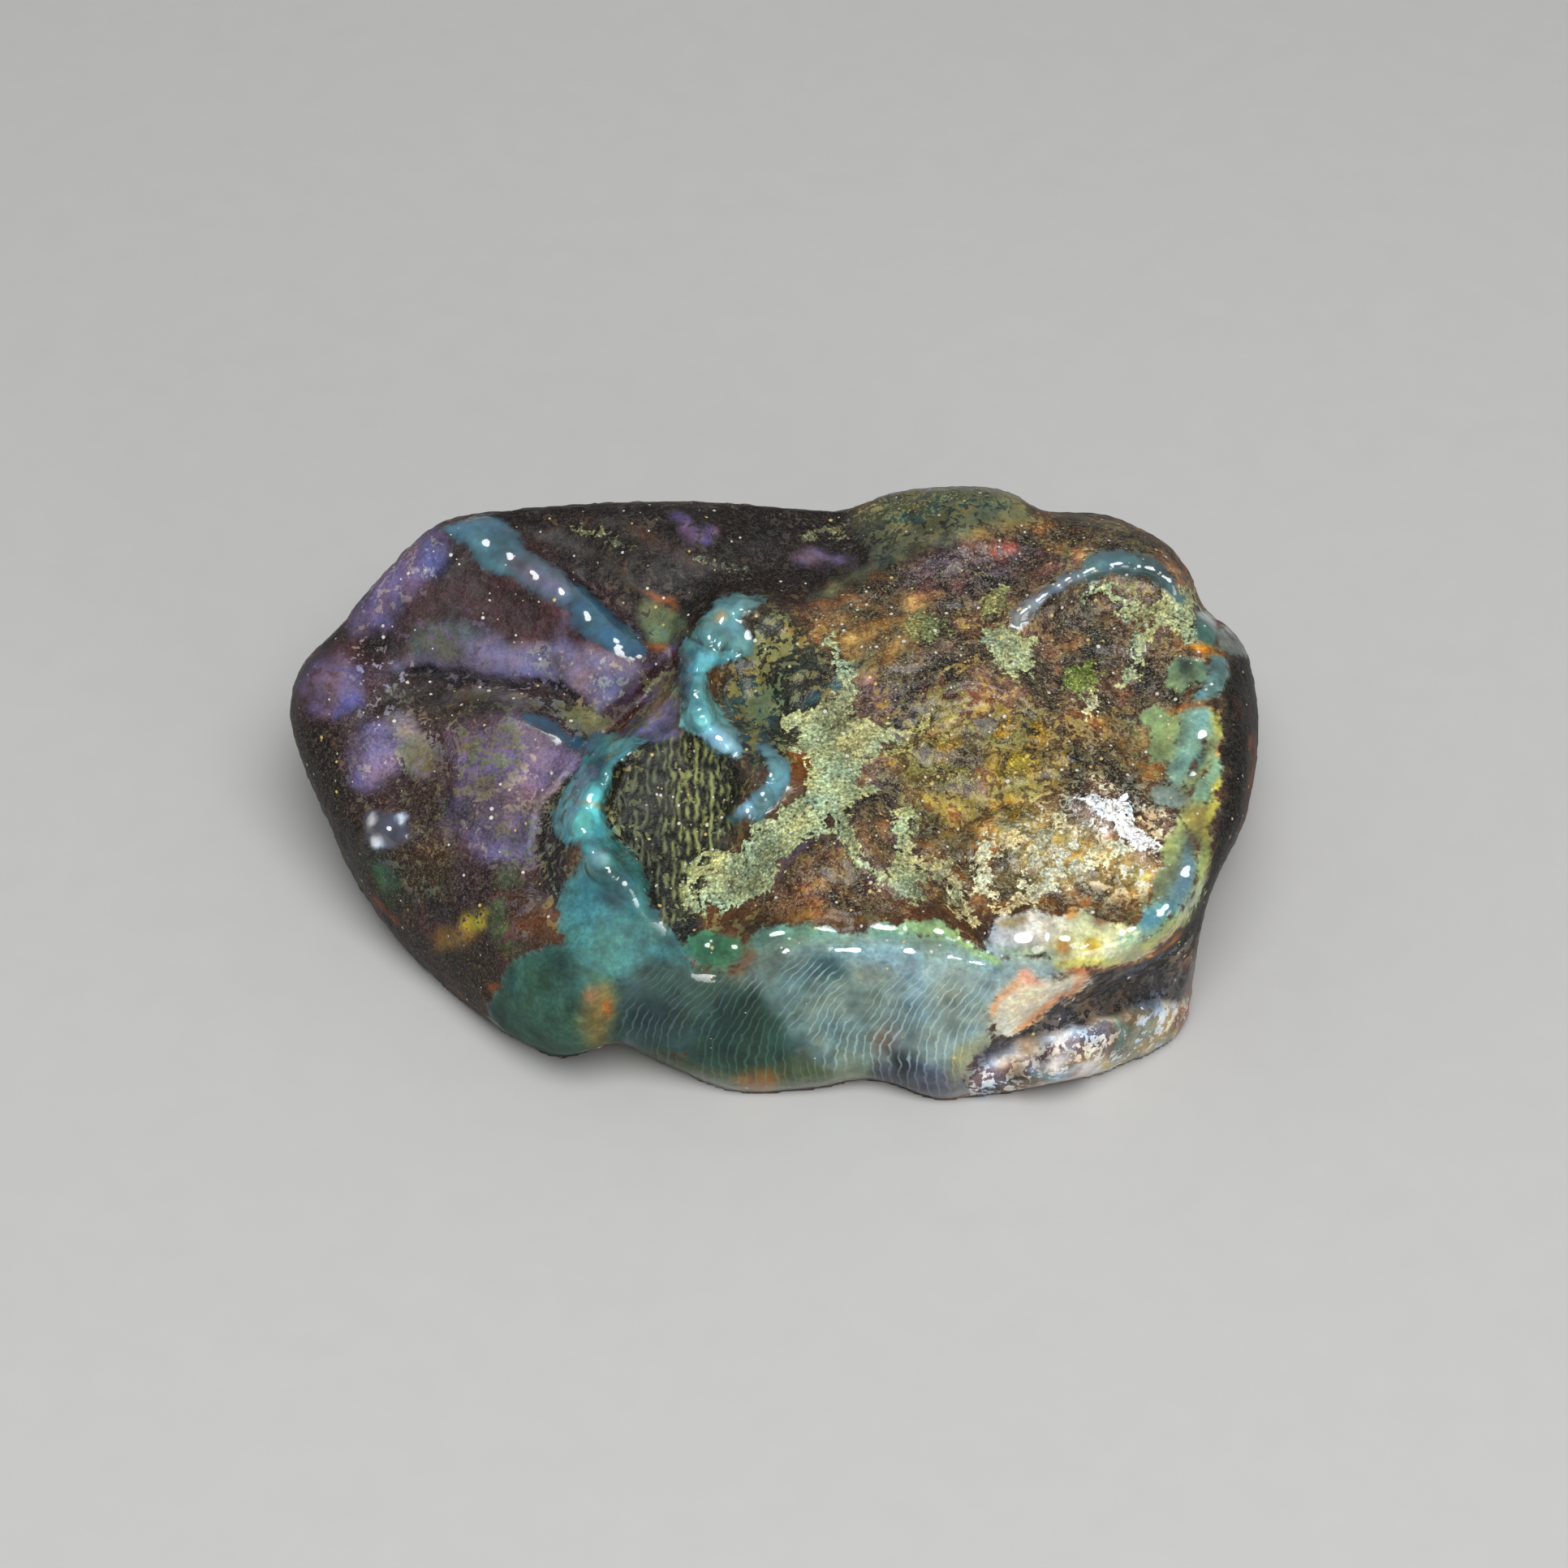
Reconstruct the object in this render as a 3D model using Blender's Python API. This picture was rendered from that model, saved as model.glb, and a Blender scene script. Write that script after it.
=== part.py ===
"""A nugget of Dominican amber, one solid piece, resting on its flattest side.

The row frame has +X to the right, +Y away from the viewer and +Z up, with the origin on the ground under the
middle of the nugget. Places on the seen side are read off a picture, in picture pixels, from an eye in front of
and above the nugget, and one scale turns them into real sizes.
"""

import math

import bmesh
import bpy
import numpy as np
from mathutils import Matrix, Vector, noise

MM = 0.001

# Driving dimensions
LENGTH = 76 * MM
OUTLINE_PIXELS_LONG = 1193
EYE_RISE = math.radians(42)
EYE_DISTANCE = 345 * MM
CORE = np.array((0.0, 0.0, 13.5)) * MM
PICTURE_MIDDLE = np.array((966.0, 966.0))
PIXEL = LENGTH / OUTLINE_PIXELS_LONG

# The outline in the picture, anticlockwise from the left end, in picture pixels
OUTLINE = [
    (357, 890), (368, 929), (384, 968), (402, 1008), (435, 1076), (479, 1146), (538, 1208), (598, 1260),
    (636, 1282), (668, 1298), (690, 1303), (717, 1298), (755, 1283), (777, 1290), (804, 1303), (842, 1322),
    (874, 1338), (905, 1348), (945, 1351), (985, 1346), (1020, 1341), (1053, 1331), (1091, 1333), (1118, 1344),
    (1140, 1354), (1167, 1358), (1194, 1354), (1237, 1349), (1286, 1341), (1329, 1333), (1373, 1322),
    (1410, 1309), (1438, 1292), (1455, 1276), (1465, 1254), (1469, 1206), (1476, 1162), (1484, 1119),
    (1503, 1070), (1524, 1032), (1538, 994), (1546, 951), (1550, 908), (1549, 870), (1543, 832), (1535, 799),
    (1514, 772), (1492, 761), (1479, 748), (1474, 723), (1459, 693), (1438, 669), (1405, 650), (1367, 640),
    (1329, 636), (1286, 631), (1259, 615), (1237, 603), (1194, 599), (1140, 601), (1096, 608), (1064, 620),
    (1040, 630), (999, 629), (900, 620), (800, 619), (701, 622), (603, 631), (555, 637), (527, 650),
    (500, 675), (473, 707), (446, 734), (427, 764), (403, 788), (381, 807), (365, 832), (358, 859),
]
OUTLINE_MIDDLE = np.array((955.0, 975.0))

# Flanks of the rough block: which way each faces (compass angle from +X, rise above level, in degrees) and how
# far it lies from the core, in millimetres
FLANKS = {
    "top_right": (-80, 74, 8.6),
    "top_far": (-90, 84, 11.6),
    "top_left": (-122, 62, 8.6),
    "front": (-92, 4, 21.0),
    "front_left": (-135, 10, 25.0),
    "front_right": (-55, 0, 31.0),
    "right": (-6, 18, 36.8),
    "left_end": (180, 15, 42.0),
    "back": (90, 25, 26.5),
    "back_left": (130, 25, 35.0),
    "back_right": (45, 30, 36.0),
    "under_front": (-90, -45, 25.0),
    "under_left": (180, -40, 33.0),
    "under_back": (90, -40, 26.0),
    "under_right": (0, -45, 35.0),
}
EDGE_ROUNDING = 1.1 * MM

# The relief fades out where the block turns away from the eye: the cosine at which it starts and over which it
# grows, and the least cosine that a height is divided by
SEEN_FROM = 0.05
SEEN_BLEND = 0.3
LEAST_FACING = 0.6

# Ridges on the seen side: half width and height in millimetres, then the crest in picture pixels
RIDGES = {
    "hook": (1.7, 2.4, [(978, 765), (935, 744), (895, 752), (870, 785), (856, 830), (862, 870), (878, 903),
                        (905, 928)]),
    "hook_tip": (1.5, 1.8, [(955, 935), (935, 975), (915, 1008)]),
    "curtain": (1.9, 2.3, [(800, 925), (750, 955), (722, 1000), (727, 1042), (748, 1072), (780, 1098),
                           (795, 1135)]),
    "far_left": (2.2, 1.4, [(565, 652), (600, 668), (640, 695), (690, 718), (730, 755), (775, 797), (805, 815)]),
    "far_right": (1.7, 2.3, [(1250, 765), (1298, 724), (1345, 698), (1398, 688), (1442, 704), (1472, 745)]),
    "right_rim": (2.6, 1.2, [(1478, 790), (1498, 880), (1498, 960), (1488, 1040), (1466, 1100), (1425, 1148),
                             (1350, 1168), (1262, 1156)]),
    "front_rim": (1.5, 0.9, [(850, 1160), (925, 1156), (1000, 1143), (1100, 1138), (1170, 1146), (1212, 1166)]),
    "tongue": (3.2, 1.3, [(742, 1085), (728, 1150), (705, 1215), (690, 1270)]),
    "lower_right_bulge": (2.4, 1.0, [(1230, 1330), (1310, 1302), (1390, 1276), (1450, 1240)]),
    "plateau_edge": (2.0, 0.9, [(1000, 740), (1060, 716), (1130, 676), (1200, 652), (1270, 642)]),
    "violet_rib": (1.6, 0.9, [(700, 905), (650, 880), (600, 890), (560, 920)]),
    "crust_step": (1.3, 0.7, [(1040, 975), (1058, 1030), (1088, 1078), (1135, 1100)]),
    "crust_fold": (1.5, 0.6, [(1130, 870), (1190, 850), (1250, 858), (1300, 890)]),
    "gold_bank": (1.4, 0.6, [(1145, 1045), (1210, 1030), (1270, 1045), (1330, 1070), (1400, 1065)]),
}

# Creases and hollows on the seen side: half width and depth in millimetres, then the line in picture pixels
CREASES = {
    "fold": (1.1, 2.2, [(858, 790), (842, 812), (800, 852), (748, 906), (702, 962), (672, 1015), (662, 1065),
                        (672, 1100)]),
    "fold_valley": (3.0, 1.1, [(870, 760), (800, 840), (745, 900), (690, 960), (650, 1030)]),
    "far_trough": (1.9, 1.3, [(650, 660), (720, 708), (790, 764), (835, 800)]),
    "left_crease": (1.6, 1.3, [(742, 900), (690, 862), (620, 840), (540, 843), (465, 855)]),
    "far_valley": (4.5, 1.6, [(800, 760), (900, 715), (1000, 700), (1100, 665), (1180, 640)]),
    "lower_right_groove": (2.0, 1.7, [(1482, 1186), (1410, 1215), (1335, 1243), (1270, 1283), (1205, 1322)]),
    "rim_notch": (0.9, 0.9, [(1150, 1080), (1190, 1120), (1222, 1172)]),
    "tongue_side": (2.0, 0.9, [(800, 1150), (790, 1210), (770, 1260)]),
    "under_far_right": (1.5, 0.7, [(1285, 790), (1340, 752), (1400, 740), (1445, 770)]),
    "crust_crack": (1.1, 0.7, [(1195, 1085), (1180, 1040), (1205, 1000), (1260, 985)]),
    "lobe_crease": (1.4, 0.9, [(430, 985), (480, 960), (520, 915), (525, 870)]),
}

# Round lumps (height above) and pits (height below): place in picture pixels, radius and height in millimetres
LUMPS = {
    "left_end_lump": (404, 842, 3.0, 2.4),
    "upper_left_lump": (530, 690, 3.2, 1.3),
    "upper_left_tail": (475, 745, 2.6, 0.8),
    "far_lump": (862, 656, 1.6, 1.3),
    "lower_left_lump": (462, 1030, 2.4, 1.0),
    "violet_lobe": (442, 925, 3.0, 1.2),
    "violet_bank": (600, 985, 4.5, 0.9),
    "far_mound": (1180, 625, 4.0, 1.0),
    "bowl": (850, 1020, 5.5, -2.3),
    "hook_pit": (925, 862, 2.6, -2.3),
    "gap_by_hook": (1000, 900, 3.0, -0.9),
    "crust_bank": (985, 1060, 3.6, 0.8),
    "right_dish": (1195, 960, 6.0, -1.0),
    "crust_boss": (1110, 800, 4.5, 0.7),
    "gold_boss": (1350, 985, 4.6, 0.9),
    "right_hollow": (1395, 860, 4.0, -0.9),
    "front_hollow": (1075, 1250, 5.0, -0.7),
    "left_pit": (455, 790, 2.0, -1.0),
}

# Unevenness over the whole surface: wavelength and height of the swell, in millimetres
SWELLS = [(17.0, 0.9), (7.0, 0.45), (3.2, 0.22)]

# The sides turned away from the eye: folded like the seen side, with a few broad lumps and scoops. Each has a
# place, radius and height in millimetres
FOLD_WAVELENGTH = 15 * MM
FOLD_HEIGHT = 2.6 * MM
BACK_LUMPS = [
    ((-24, 24, 12), 7.0, 1.9),
    ((-6, 30, 17), 6.0, -1.7),
    ((10, 29, 10), 7.5, 2.0),
    ((26, 24, 17), 6.0, 1.4),
    ((30, 14, 7), 5.5, -1.5),
    ((-36, 12, 8), 5.0, 1.5),
    ((38, -2, 10), 5.0, 1.2),
]

# The mesh: how finely the ball is divided, how often it is smoothed, how far below the ground it is kept while
# its triangles are thinned out, how many triangles are left, and the normal below which a face is the flat base
BALL_SUBDIVISIONS = 7
SMOOTHING_ROUNDS = 6
OUTLINE_SLOTS = 180
ROOT_BELOW_GROUND = 0.8 * MM
TRIANGLES = 9300
FLAT_BELOW = -0.9999

AMBER_BROWN = (0.115, 0.085, 0.045, 1.0)
GLOSS_ROUGHNESS = 0.18


def eye_axes():
    """Right, up and towards-the-eye directions of the picture."""
    right = np.array((1.0, 0.0, 0.0))
    up = np.array((0.0, math.sin(EYE_RISE), math.cos(EYE_RISE)))
    toward = np.array((0.0, -math.cos(EYE_RISE), math.sin(EYE_RISE)))
    return right, up, toward


def in_picture(points):
    """Picture pixels of points in the row frame, as the eye sees them."""
    right, up, toward = eye_axes()
    offset = points - CORE
    depth = EYE_DISTANCE - offset @ toward
    scale = EYE_DISTANCE / depth / PIXEL
    return PICTURE_MIDDLE + np.stack((offset @ right * scale, -(offset @ up) * scale), axis=-1)


def smooth_line(points, steps, closed):
    """Points along a smooth curve through the given points: a ring, or a line with two ends."""
    given = np.array(points, float)
    if closed:
        before, after, beyond = np.roll(given, 1, 0), np.roll(given, -1, 0), np.roll(given, -2, 0)
    else:
        padded = np.concatenate((2 * given[:1] - given[1:2], given, 2 * given[-1:] - given[-2:-1]))
        before, given, after, beyond = padded[:-3], padded[1:-2], padded[2:-1], padded[3:]
    pieces = []
    for t in np.arange(steps) / steps:
        pieces.append(
            0.5 * (2 * given + (after - before) * t + (2 * before - 5 * given + 4 * after - beyond) * t**2
                   + (3 * given - before - 3 * after + beyond) * t**3)
        )
    line = np.stack(pieces, axis=1).reshape(-1, 2)
    return line if closed else np.concatenate((line, after[-1:]))


def bearing_and_reach(pixels):
    """Direction from the outline's middle, in radians, and distance from it, in pixels."""
    offset = pixels - OUTLINE_MIDDLE
    return np.arctan2(offset[:, 1], offset[:, 0]), np.hypot(offset[:, 0], offset[:, 1])


def outline_reach(bearing):
    """How far the outline is from its middle in these directions, in pixels."""
    along, reach = bearing_and_reach(smooth_line(OUTLINE, 8, closed=True))
    order = np.argsort(along)
    return np.interp(bearing, along[order], reach[order], period=2 * math.pi)


def outline_excess(pixels):
    """How far outside the outline each picture point lies, in metres."""
    bearing, reach = bearing_and_reach(pixels)
    return (reach - outline_reach(bearing)) * PIXEL


def fill_outline(points):
    """Spreads the block parallel to the picture until its edge meets the outline all round."""
    right, up, toward = eye_axes()
    pixels = in_picture(points)
    bearing, reach = bearing_and_reach(pixels)
    limit = outline_reach(bearing)
    slots = ((bearing + math.pi) / (2 * math.pi) * OUTLINE_SLOTS).astype(int) % OUTLINE_SLOTS
    widest = np.zeros(OUTLINE_SLOTS)
    np.maximum.at(widest, slots, reach / limit)
    ring = np.concatenate((widest, widest, widest))
    smooth = np.convolve(ring, np.ones(3) / 3, "same")[OUTLINE_SLOTS : 2 * OUTLINE_SLOTS]
    middles = (np.arange(OUTLINE_SLOTS) + 0.5) / OUTLINE_SLOTS * 2 * math.pi - math.pi
    stretch = 1 / np.interp(bearing, middles, smooth, period=2 * math.pi) - 1
    moved = (pixels - OUTLINE_MIDDLE) * (stretch * (reach / limit) ** 3)[:, None] * PIXEL
    depth = 1 - (points - CORE) @ toward / EYE_DISTANCE
    return points + right * (moved[:, :1] * depth[:, None]) - up * (moved[:, 1:] * depth[:, None])


def flank_normals():
    compass = np.radians([f[0] for f in FLANKS.values()])
    rise = np.radians([f[1] for f in FLANKS.values()])
    return np.stack((np.cos(rise) * np.cos(compass), np.cos(rise) * np.sin(compass), np.sin(rise)), axis=-1)


def block(points):
    """Signed depth of the rough block: negative inside, with rounded edges between its flanks."""
    distances = np.array([f[2] for f in FLANKS.values()]) * MM
    sides = (points - CORE) @ flank_normals().T - distances
    sides = np.concatenate((sides, outline_excess(in_picture(points))[:, None]), axis=1)
    most = sides.max(axis=1)
    return most + EDGE_ROUNDING * np.log(np.exp((sides - most[:, None]) / EDGE_ROUNDING).sum(axis=1))


def cast_out(directions):
    """Points where rays from the core leave the block."""
    near, far = np.zeros(len(directions)), np.full(len(directions), 60 * MM)
    for _ in range(24):
        middle = (near + far) / 2
        inside = block(CORE + directions * middle[:, None]) < 0
        near, far = np.where(inside, middle, near), np.where(inside, far, middle)
    return CORE + directions * near[:, None]


def block_normals(points):
    step = 0.2 * MM
    slope = np.stack([block(points + step * axis) - block(points - step * axis) for axis in np.eye(3)], axis=-1)
    return slope / np.linalg.norm(slope, axis=1)[:, None]


def path_swell(pixels, path, half_width):
    """A rounded rise along a smooth line, lower towards the line's two ends."""
    line = smooth_line(path, 3, closed=False)
    lengths = np.linalg.norm(np.diff(line, axis=0), axis=1)
    starts = np.concatenate(((0,), np.cumsum(lengths)))
    nearest = np.full(len(pixels), np.inf)
    position = np.zeros(len(pixels))
    for start, end, length, before in zip(line, line[1:], lengths, starts):
        share = np.clip((pixels - start) @ (end - start) / length**2, 0, 1)
        distance = np.linalg.norm(pixels - start - share[:, None] * (end - start), axis=1)
        closer = distance < nearest
        nearest[closer] = distance[closer]
        position[closer] = before + share[closer] * length
    to_end = np.minimum(position, starts[-1] - position) * PIXEL
    taper = np.clip(0.35 + to_end / (3 * half_width), 0, 1)
    return taper * swell(nearest * PIXEL, half_width)


def swell(distance, radius):
    """A rounded rise: 1 in the middle, 0.4 at the radius, and next to nothing at twice the radius."""
    return np.exp(-(distance / radius) ** 2)


def seen_relief(pixels):
    """Height of the ridges, creases, lumps and pits over the block, in metres."""
    height = np.zeros(len(pixels))
    for half_width, rise, path in RIDGES.values():
        height += rise * MM * path_swell(pixels, path, half_width * MM)
    for half_width, depth, path in CREASES.values():
        height -= depth * MM * path_swell(pixels, path, half_width * MM)
    for x, y, radius, rise in LUMPS.values():
        height += rise * MM * swell(np.linalg.norm(pixels - (x, y), axis=1) * PIXEL, radius * MM)
    return height


def noise_at(points, wavelength):
    return np.array([noise.noise(Vector(point)) for point in points / wavelength])


def unevenness(points):
    return sum(rise * MM * noise_at(points, wavelength * MM) for wavelength, rise in SWELLS)


def hidden_relief(points):
    """Height of the folds, lumps and scoops on the sides turned away from the eye, in metres."""
    height = FOLD_HEIGHT * (0.25 - np.abs(noise_at(points, FOLD_WAVELENGTH)))
    for place, radius, rise in BACK_LUMPS:
        height += rise * MM * swell(np.linalg.norm(points - np.array(place) * MM, axis=1), radius * MM)
    return height


def rough_ball():
    """A fine ball whose points are then moved, so that the nugget keeps its closed surface."""
    bpy.ops.mesh.primitive_ico_sphere_add(subdivisions=BALL_SUBDIVISIONS, radius=1)
    ball = bpy.context.object
    ball.name = "amber_nugget"
    directions = np.empty(len(ball.data.vertices) * 3)
    ball.data.vertices.foreach_get("co", directions)
    directions = directions.reshape(-1, 3)
    return ball, directions / np.linalg.norm(directions, axis=1)[:, None]


def smooth_step(values):
    clipped = np.clip(values, 0, 1)
    return clipped * clipped * (3 - 2 * clipped)


def nugget_points(directions):
    """The nugget's surface: the block filled out to the outline, with the relief and the unevenness on it."""
    points = cast_out(directions)
    normals = block_normals(points)
    points = fill_outline(points)
    sight = CORE + EYE_DISTANCE * eye_axes()[2] - points
    sight /= np.linalg.norm(sight, axis=1)[:, None]
    facing = (normals * sight).sum(axis=1)
    seen = smooth_step((facing - SEEN_FROM) / SEEN_BLEND)
    hidden = smooth_step((-facing - SEEN_FROM) / SEEN_BLEND)
    lift = seen * seen_relief(in_picture(points)) / np.maximum(facing, LEAST_FACING)
    push = hidden * hidden_relief(points) + (seen + hidden) * unevenness(points)
    return points + sight * lift[:, None] + normals * push[:, None]


def apply_modifier(obj, kind, **settings):
    modifier = obj.modifiers.new(kind.lower(), kind)
    for name, value in settings.items():
        setattr(modifier, name, value)
    bpy.context.view_layer.objects.active = obj
    bpy.ops.object.modifier_apply(modifier=modifier.name)


def cut_level(mesh, height):
    """Cuts the nugget off level at this height and closes the cut with flat faces."""
    bm = bmesh.new()
    bm.from_mesh(mesh)
    cut = bmesh.ops.bisect_plane(
        bm, geom=bm.verts[:] + bm.edges[:] + bm.faces[:], dist=MM / 1000, plane_co=(0, 0, height),
        plane_no=(0, 0, -1), clear_outer=True,
    )
    for item in cut["geom_cut"]:
        if isinstance(item, bmesh.types.BMVert):
            item.co.z = height
    rim = [item for item in cut["geom_cut"] if isinstance(item, bmesh.types.BMEdge)]
    base = bmesh.ops.edgeloop_fill(bm, edges=rim)["faces"]
    bmesh.ops.triangulate(bm, faces=base)
    bmesh.ops.recalc_face_normals(bm, faces=bm.faces[:])
    bm.to_mesh(mesh)
    bm.free()


def move_to_origin(mesh):
    """Puts the origin on the ground under the middle of the nugget's box."""
    corners = np.empty(len(mesh.vertices) * 3)
    mesh.vertices.foreach_get("co", corners)
    corners = corners.reshape(-1, 3)
    middle = (corners.min(axis=0) + corners.max(axis=0)) / 2
    mesh.transform(Matrix.Translation((-middle[0], -middle[1], 0)))


def glossy_amber():
    material = bpy.data.materials.new("glossy_amber")
    material.use_nodes = True
    shader = material.node_tree.nodes["Principled BSDF"]
    shader.inputs["Base Color"].default_value = AMBER_BROWN
    shader.inputs["Roughness"].default_value = GLOSS_ROUGHNESS
    shader.inputs["Metallic"].default_value = 0.0
    return material


def build_nugget():
    for obj in list(bpy.data.objects):
        bpy.data.objects.remove(obj)
    nugget, directions = rough_ball()
    nugget.data.vertices.foreach_set("co", nugget_points(directions).ravel())
    nugget.data.update()
    apply_modifier(nugget, "SMOOTH", factor=0.5, iterations=SMOOTHING_ROUNDS)
    cut_level(nugget.data, -ROOT_BELOW_GROUND)
    apply_modifier(nugget, "DECIMATE", ratio=TRIANGLES / len(nugget.data.polygons))
    cut_level(nugget.data, 0.0)
    move_to_origin(nugget.data)
    nugget.data.materials.clear()
    nugget.data.materials.append(glossy_amber())
    for face in nugget.data.polygons:
        face.use_smooth = face.normal.z > FLAT_BELOW
    nugget.data.update()


build_nugget()
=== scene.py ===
"""A nugget of Dominican amber on a pale studio floor.

The nugget is one piece. Its finer relief and its colours are drawn in picture pixels on the side that the
camera sees, and follow noise in the stone itself on the sides that it doesn't. Lengths on the stone are in
millimetres.
"""

import math
from types import SimpleNamespace

import bpy
import numpy as np
from mathutils import Matrix, Vector, noise


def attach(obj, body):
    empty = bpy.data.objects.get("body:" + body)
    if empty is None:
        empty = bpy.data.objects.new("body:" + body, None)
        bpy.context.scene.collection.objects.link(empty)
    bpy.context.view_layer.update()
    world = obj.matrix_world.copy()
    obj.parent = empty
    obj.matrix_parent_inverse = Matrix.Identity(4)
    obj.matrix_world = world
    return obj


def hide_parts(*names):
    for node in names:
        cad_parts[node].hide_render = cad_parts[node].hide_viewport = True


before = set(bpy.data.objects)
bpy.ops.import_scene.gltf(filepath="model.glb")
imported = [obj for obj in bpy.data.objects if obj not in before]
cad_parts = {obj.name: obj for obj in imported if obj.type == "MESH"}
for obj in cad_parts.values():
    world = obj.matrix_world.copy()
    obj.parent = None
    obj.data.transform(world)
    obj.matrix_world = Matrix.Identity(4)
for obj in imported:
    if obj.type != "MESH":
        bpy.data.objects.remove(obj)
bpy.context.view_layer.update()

MM = 0.001

# The picture: how high the camera looks down from, how far it is from the middle of the stone, where that
# middle is, and how large a picture pixel is there
CAMERA_RISE = math.radians(42)
CAMERA_DISTANCE = 345.0
STONE_MIDDLE = np.array((0.28789, -4.88450, 13.5))
PICTURE_SIZE = 1932
PICTURE_MIDDLE = np.array((966.0, 966.0))
PIXEL = 76.0 / 1193

# The mesh: spacing of its points, smoothing rounds, how much of the hidden sides stays when they are thinned
# out, and how near the ground the foot is pressed flat
VOXEL = 0.345
SMOOTHING_ROUNDS = 7
HIDDEN_SHARE = 0.20
FOOT = 0.35

# Relief: how far each kind of unevenness stands out, and how near the ground all relief fades away
RIDGE_RISE = 0.07
LUMP_RISE = 0.13
GRAIN_RISE = 0.09
CRUST_RISE = 0.09
CRUST_LUMP_RISE = 0.08
HIDDEN_SKIN_RISE = 0.10
ROCK_RISE = 0.23
RIM_LUMP_RISE = 0.08
RIM_GRAIN_RISE = 0.02
RIPPLE_RISE = 0.055
GROUND_MARGIN = 0.8

# Distance between the ripples of the cut front, the streaks of the bowl and the strands in the fold
RIPPLE_PITCH = 0.70
STREAK_PITCH = 0.60
STRAND_PITCH = 0.55

# How far a mark reaches outside itself, and over what way marks of the skin and of the crust run together
REACH = 6.0
SKIN_RUN = 0.45
CRUST_RUN = 0.4

# Sizes of the grain in the material, and how much each part of it is lighter and darker with the grain
BROAD_GRAIN = 0.85
FINE_GRAIN = 0.36
CRUST_GRAIN = 0.20
UNDER_CONTRAST = 3.4
CRUST_CONTRAST = 4.5
CRUST_GRAIN_CONTRAST = 4.0
SKIN_CONTRAST = 1.6
RIM_CONTRAST = 1.9

# Glints: distance between them, their smallest radius, and how much larger the largest are
GLINT_SPACING = 0.66
GLINT_RADIUS = 0.08
GLINT_GROWTH = 0.17

RIGHT = np.array((1.0, 0.0, 0.0))
UP = np.array((0.0, math.sin(CAMERA_RISE), math.cos(CAMERA_RISE)))
TOWARD = np.array((0.0, -math.cos(CAMERA_RISE), math.sin(CAMERA_RISE)))


# Places in the picture


def picture_places(points):
    """Picture pixels of points on the stone, which are given in millimetres."""
    offset = points - STONE_MIDDLE
    scale = CAMERA_DISTANCE / (CAMERA_DISTANCE - offset @ TOWARD) / PIXEL
    return PICTURE_MIDDLE + np.stack((offset @ RIGHT * scale, -(offset @ UP) * scale), axis=-1)


def smooth_step(values):
    clipped = np.clip(values, 0, 1)
    return clipped * clipped * (3 - 2 * clipped)


def smooth_line(points, closed=False, steps=4):
    """Points along a smooth curve through the given points: a ring, or a line with two ends."""
    given = np.array(points, float)
    if closed:
        before, after, beyond = np.roll(given, 1, 0), np.roll(given, -1, 0), np.roll(given, -2, 0)
    else:
        padded = np.concatenate((2 * given[:1] - given[1:2], given, 2 * given[-1:] - given[-2:-1]))
        before, given, after, beyond = padded[:-3], padded[1:-2], padded[2:-1], padded[3:]
    rows = []
    for t in np.arange(steps) / steps:
        rows.append(
            0.5 * (2 * given + (after - before) * t + (2 * before - 5 * given + 4 * after - beyond) * t**2
                   + (3 * given - before - 3 * after + beyond) * t**3)
        )
    curve = np.stack(rows, axis=1).reshape(-1, 2)
    return curve if closed else np.concatenate((curve, after[-1:]))


def near_line(places, curve):
    """Distance from each place to a curve, how far along it that is, and the curve's length, in pixels."""
    nearest = np.full(len(places), np.inf)
    along = np.zeros(len(places))
    before = 0.0
    for start, end in zip(curve, curve[1:]):
        step = end - start
        length = np.hypot(*step)
        share = np.clip((places - start) @ step / max(length**2, 1e-9), 0, 1)
        distance = np.hypot(*(places - start - share[:, None] * step).T)
        closer = distance < nearest
        nearest[closer] = distance[closer]
        along[closer] = before + share[closer] * length
        before += length
    return nearest, along, before


def within_ring(places, ring):
    """True for the places inside a ring of points."""
    inside = np.zeros(len(places), bool)
    x, y = places.T
    for (x0, y0), (x1, y1) in zip(ring, np.roll(ring, -1, 0)):
        if y0 != y1:
            crosses = (y0 > y) != (y1 > y)
            inside ^= crosses & (x < (x1 - x0) * (y - y0) / (y1 - y0) + x0)
    return inside


def depth_in(places, mark):
    """How deep each place lies inside a mark, in millimetres, less than zero outside it."""
    points = np.array(mark["points"], float)
    reach = REACH / PIXEL
    low, high = points.min(0) - reach, points.max(0) + reach
    close = ((places > low) & (places < high)).all(axis=1)
    depth = np.full(len(places), -REACH)
    if not close.any():
        return depth
    if mark["half_width"] is None:
        ring = smooth_line(points, closed=True)
        distance = near_line(places[close], np.concatenate((ring, ring[:1])))[0] * PIXEL
        depth[close] = np.where(within_ring(places[close], ring), distance, -distance)
    else:
        distance, along, length = near_line(places[close], smooth_line(points))
        to_end = np.minimum(along, length - along) * PIXEL
        width = mark["half_width"] * np.clip(0.4 + to_end / (4 * mark["half_width"]), 0, 1)
        depth[close] = width - distance * PIXEL
    return np.maximum(depth, -REACH)


def area(colour, soft, points, share=None):
    """A mark inside a ring of points. Soft is the width of its edge, and share how much of it is flecks."""
    return {"colour": colour, "soft": soft, "half_width": None, "points": points, "share": share}


def line(colour, soft, half_width, points):
    """A mark along a line of points, narrower at both ends."""
    return {"colour": colour, "soft": soft, "half_width": half_width, "points": points}


def patch(colour, points):
    """An area whose edge the material makes ragged."""
    return area(colour, None, points)


def vein(colour, half_width, points):
    """A line whose edge the material makes ragged."""
    return line(colour, None, half_width, points)


# Colours of marks

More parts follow.
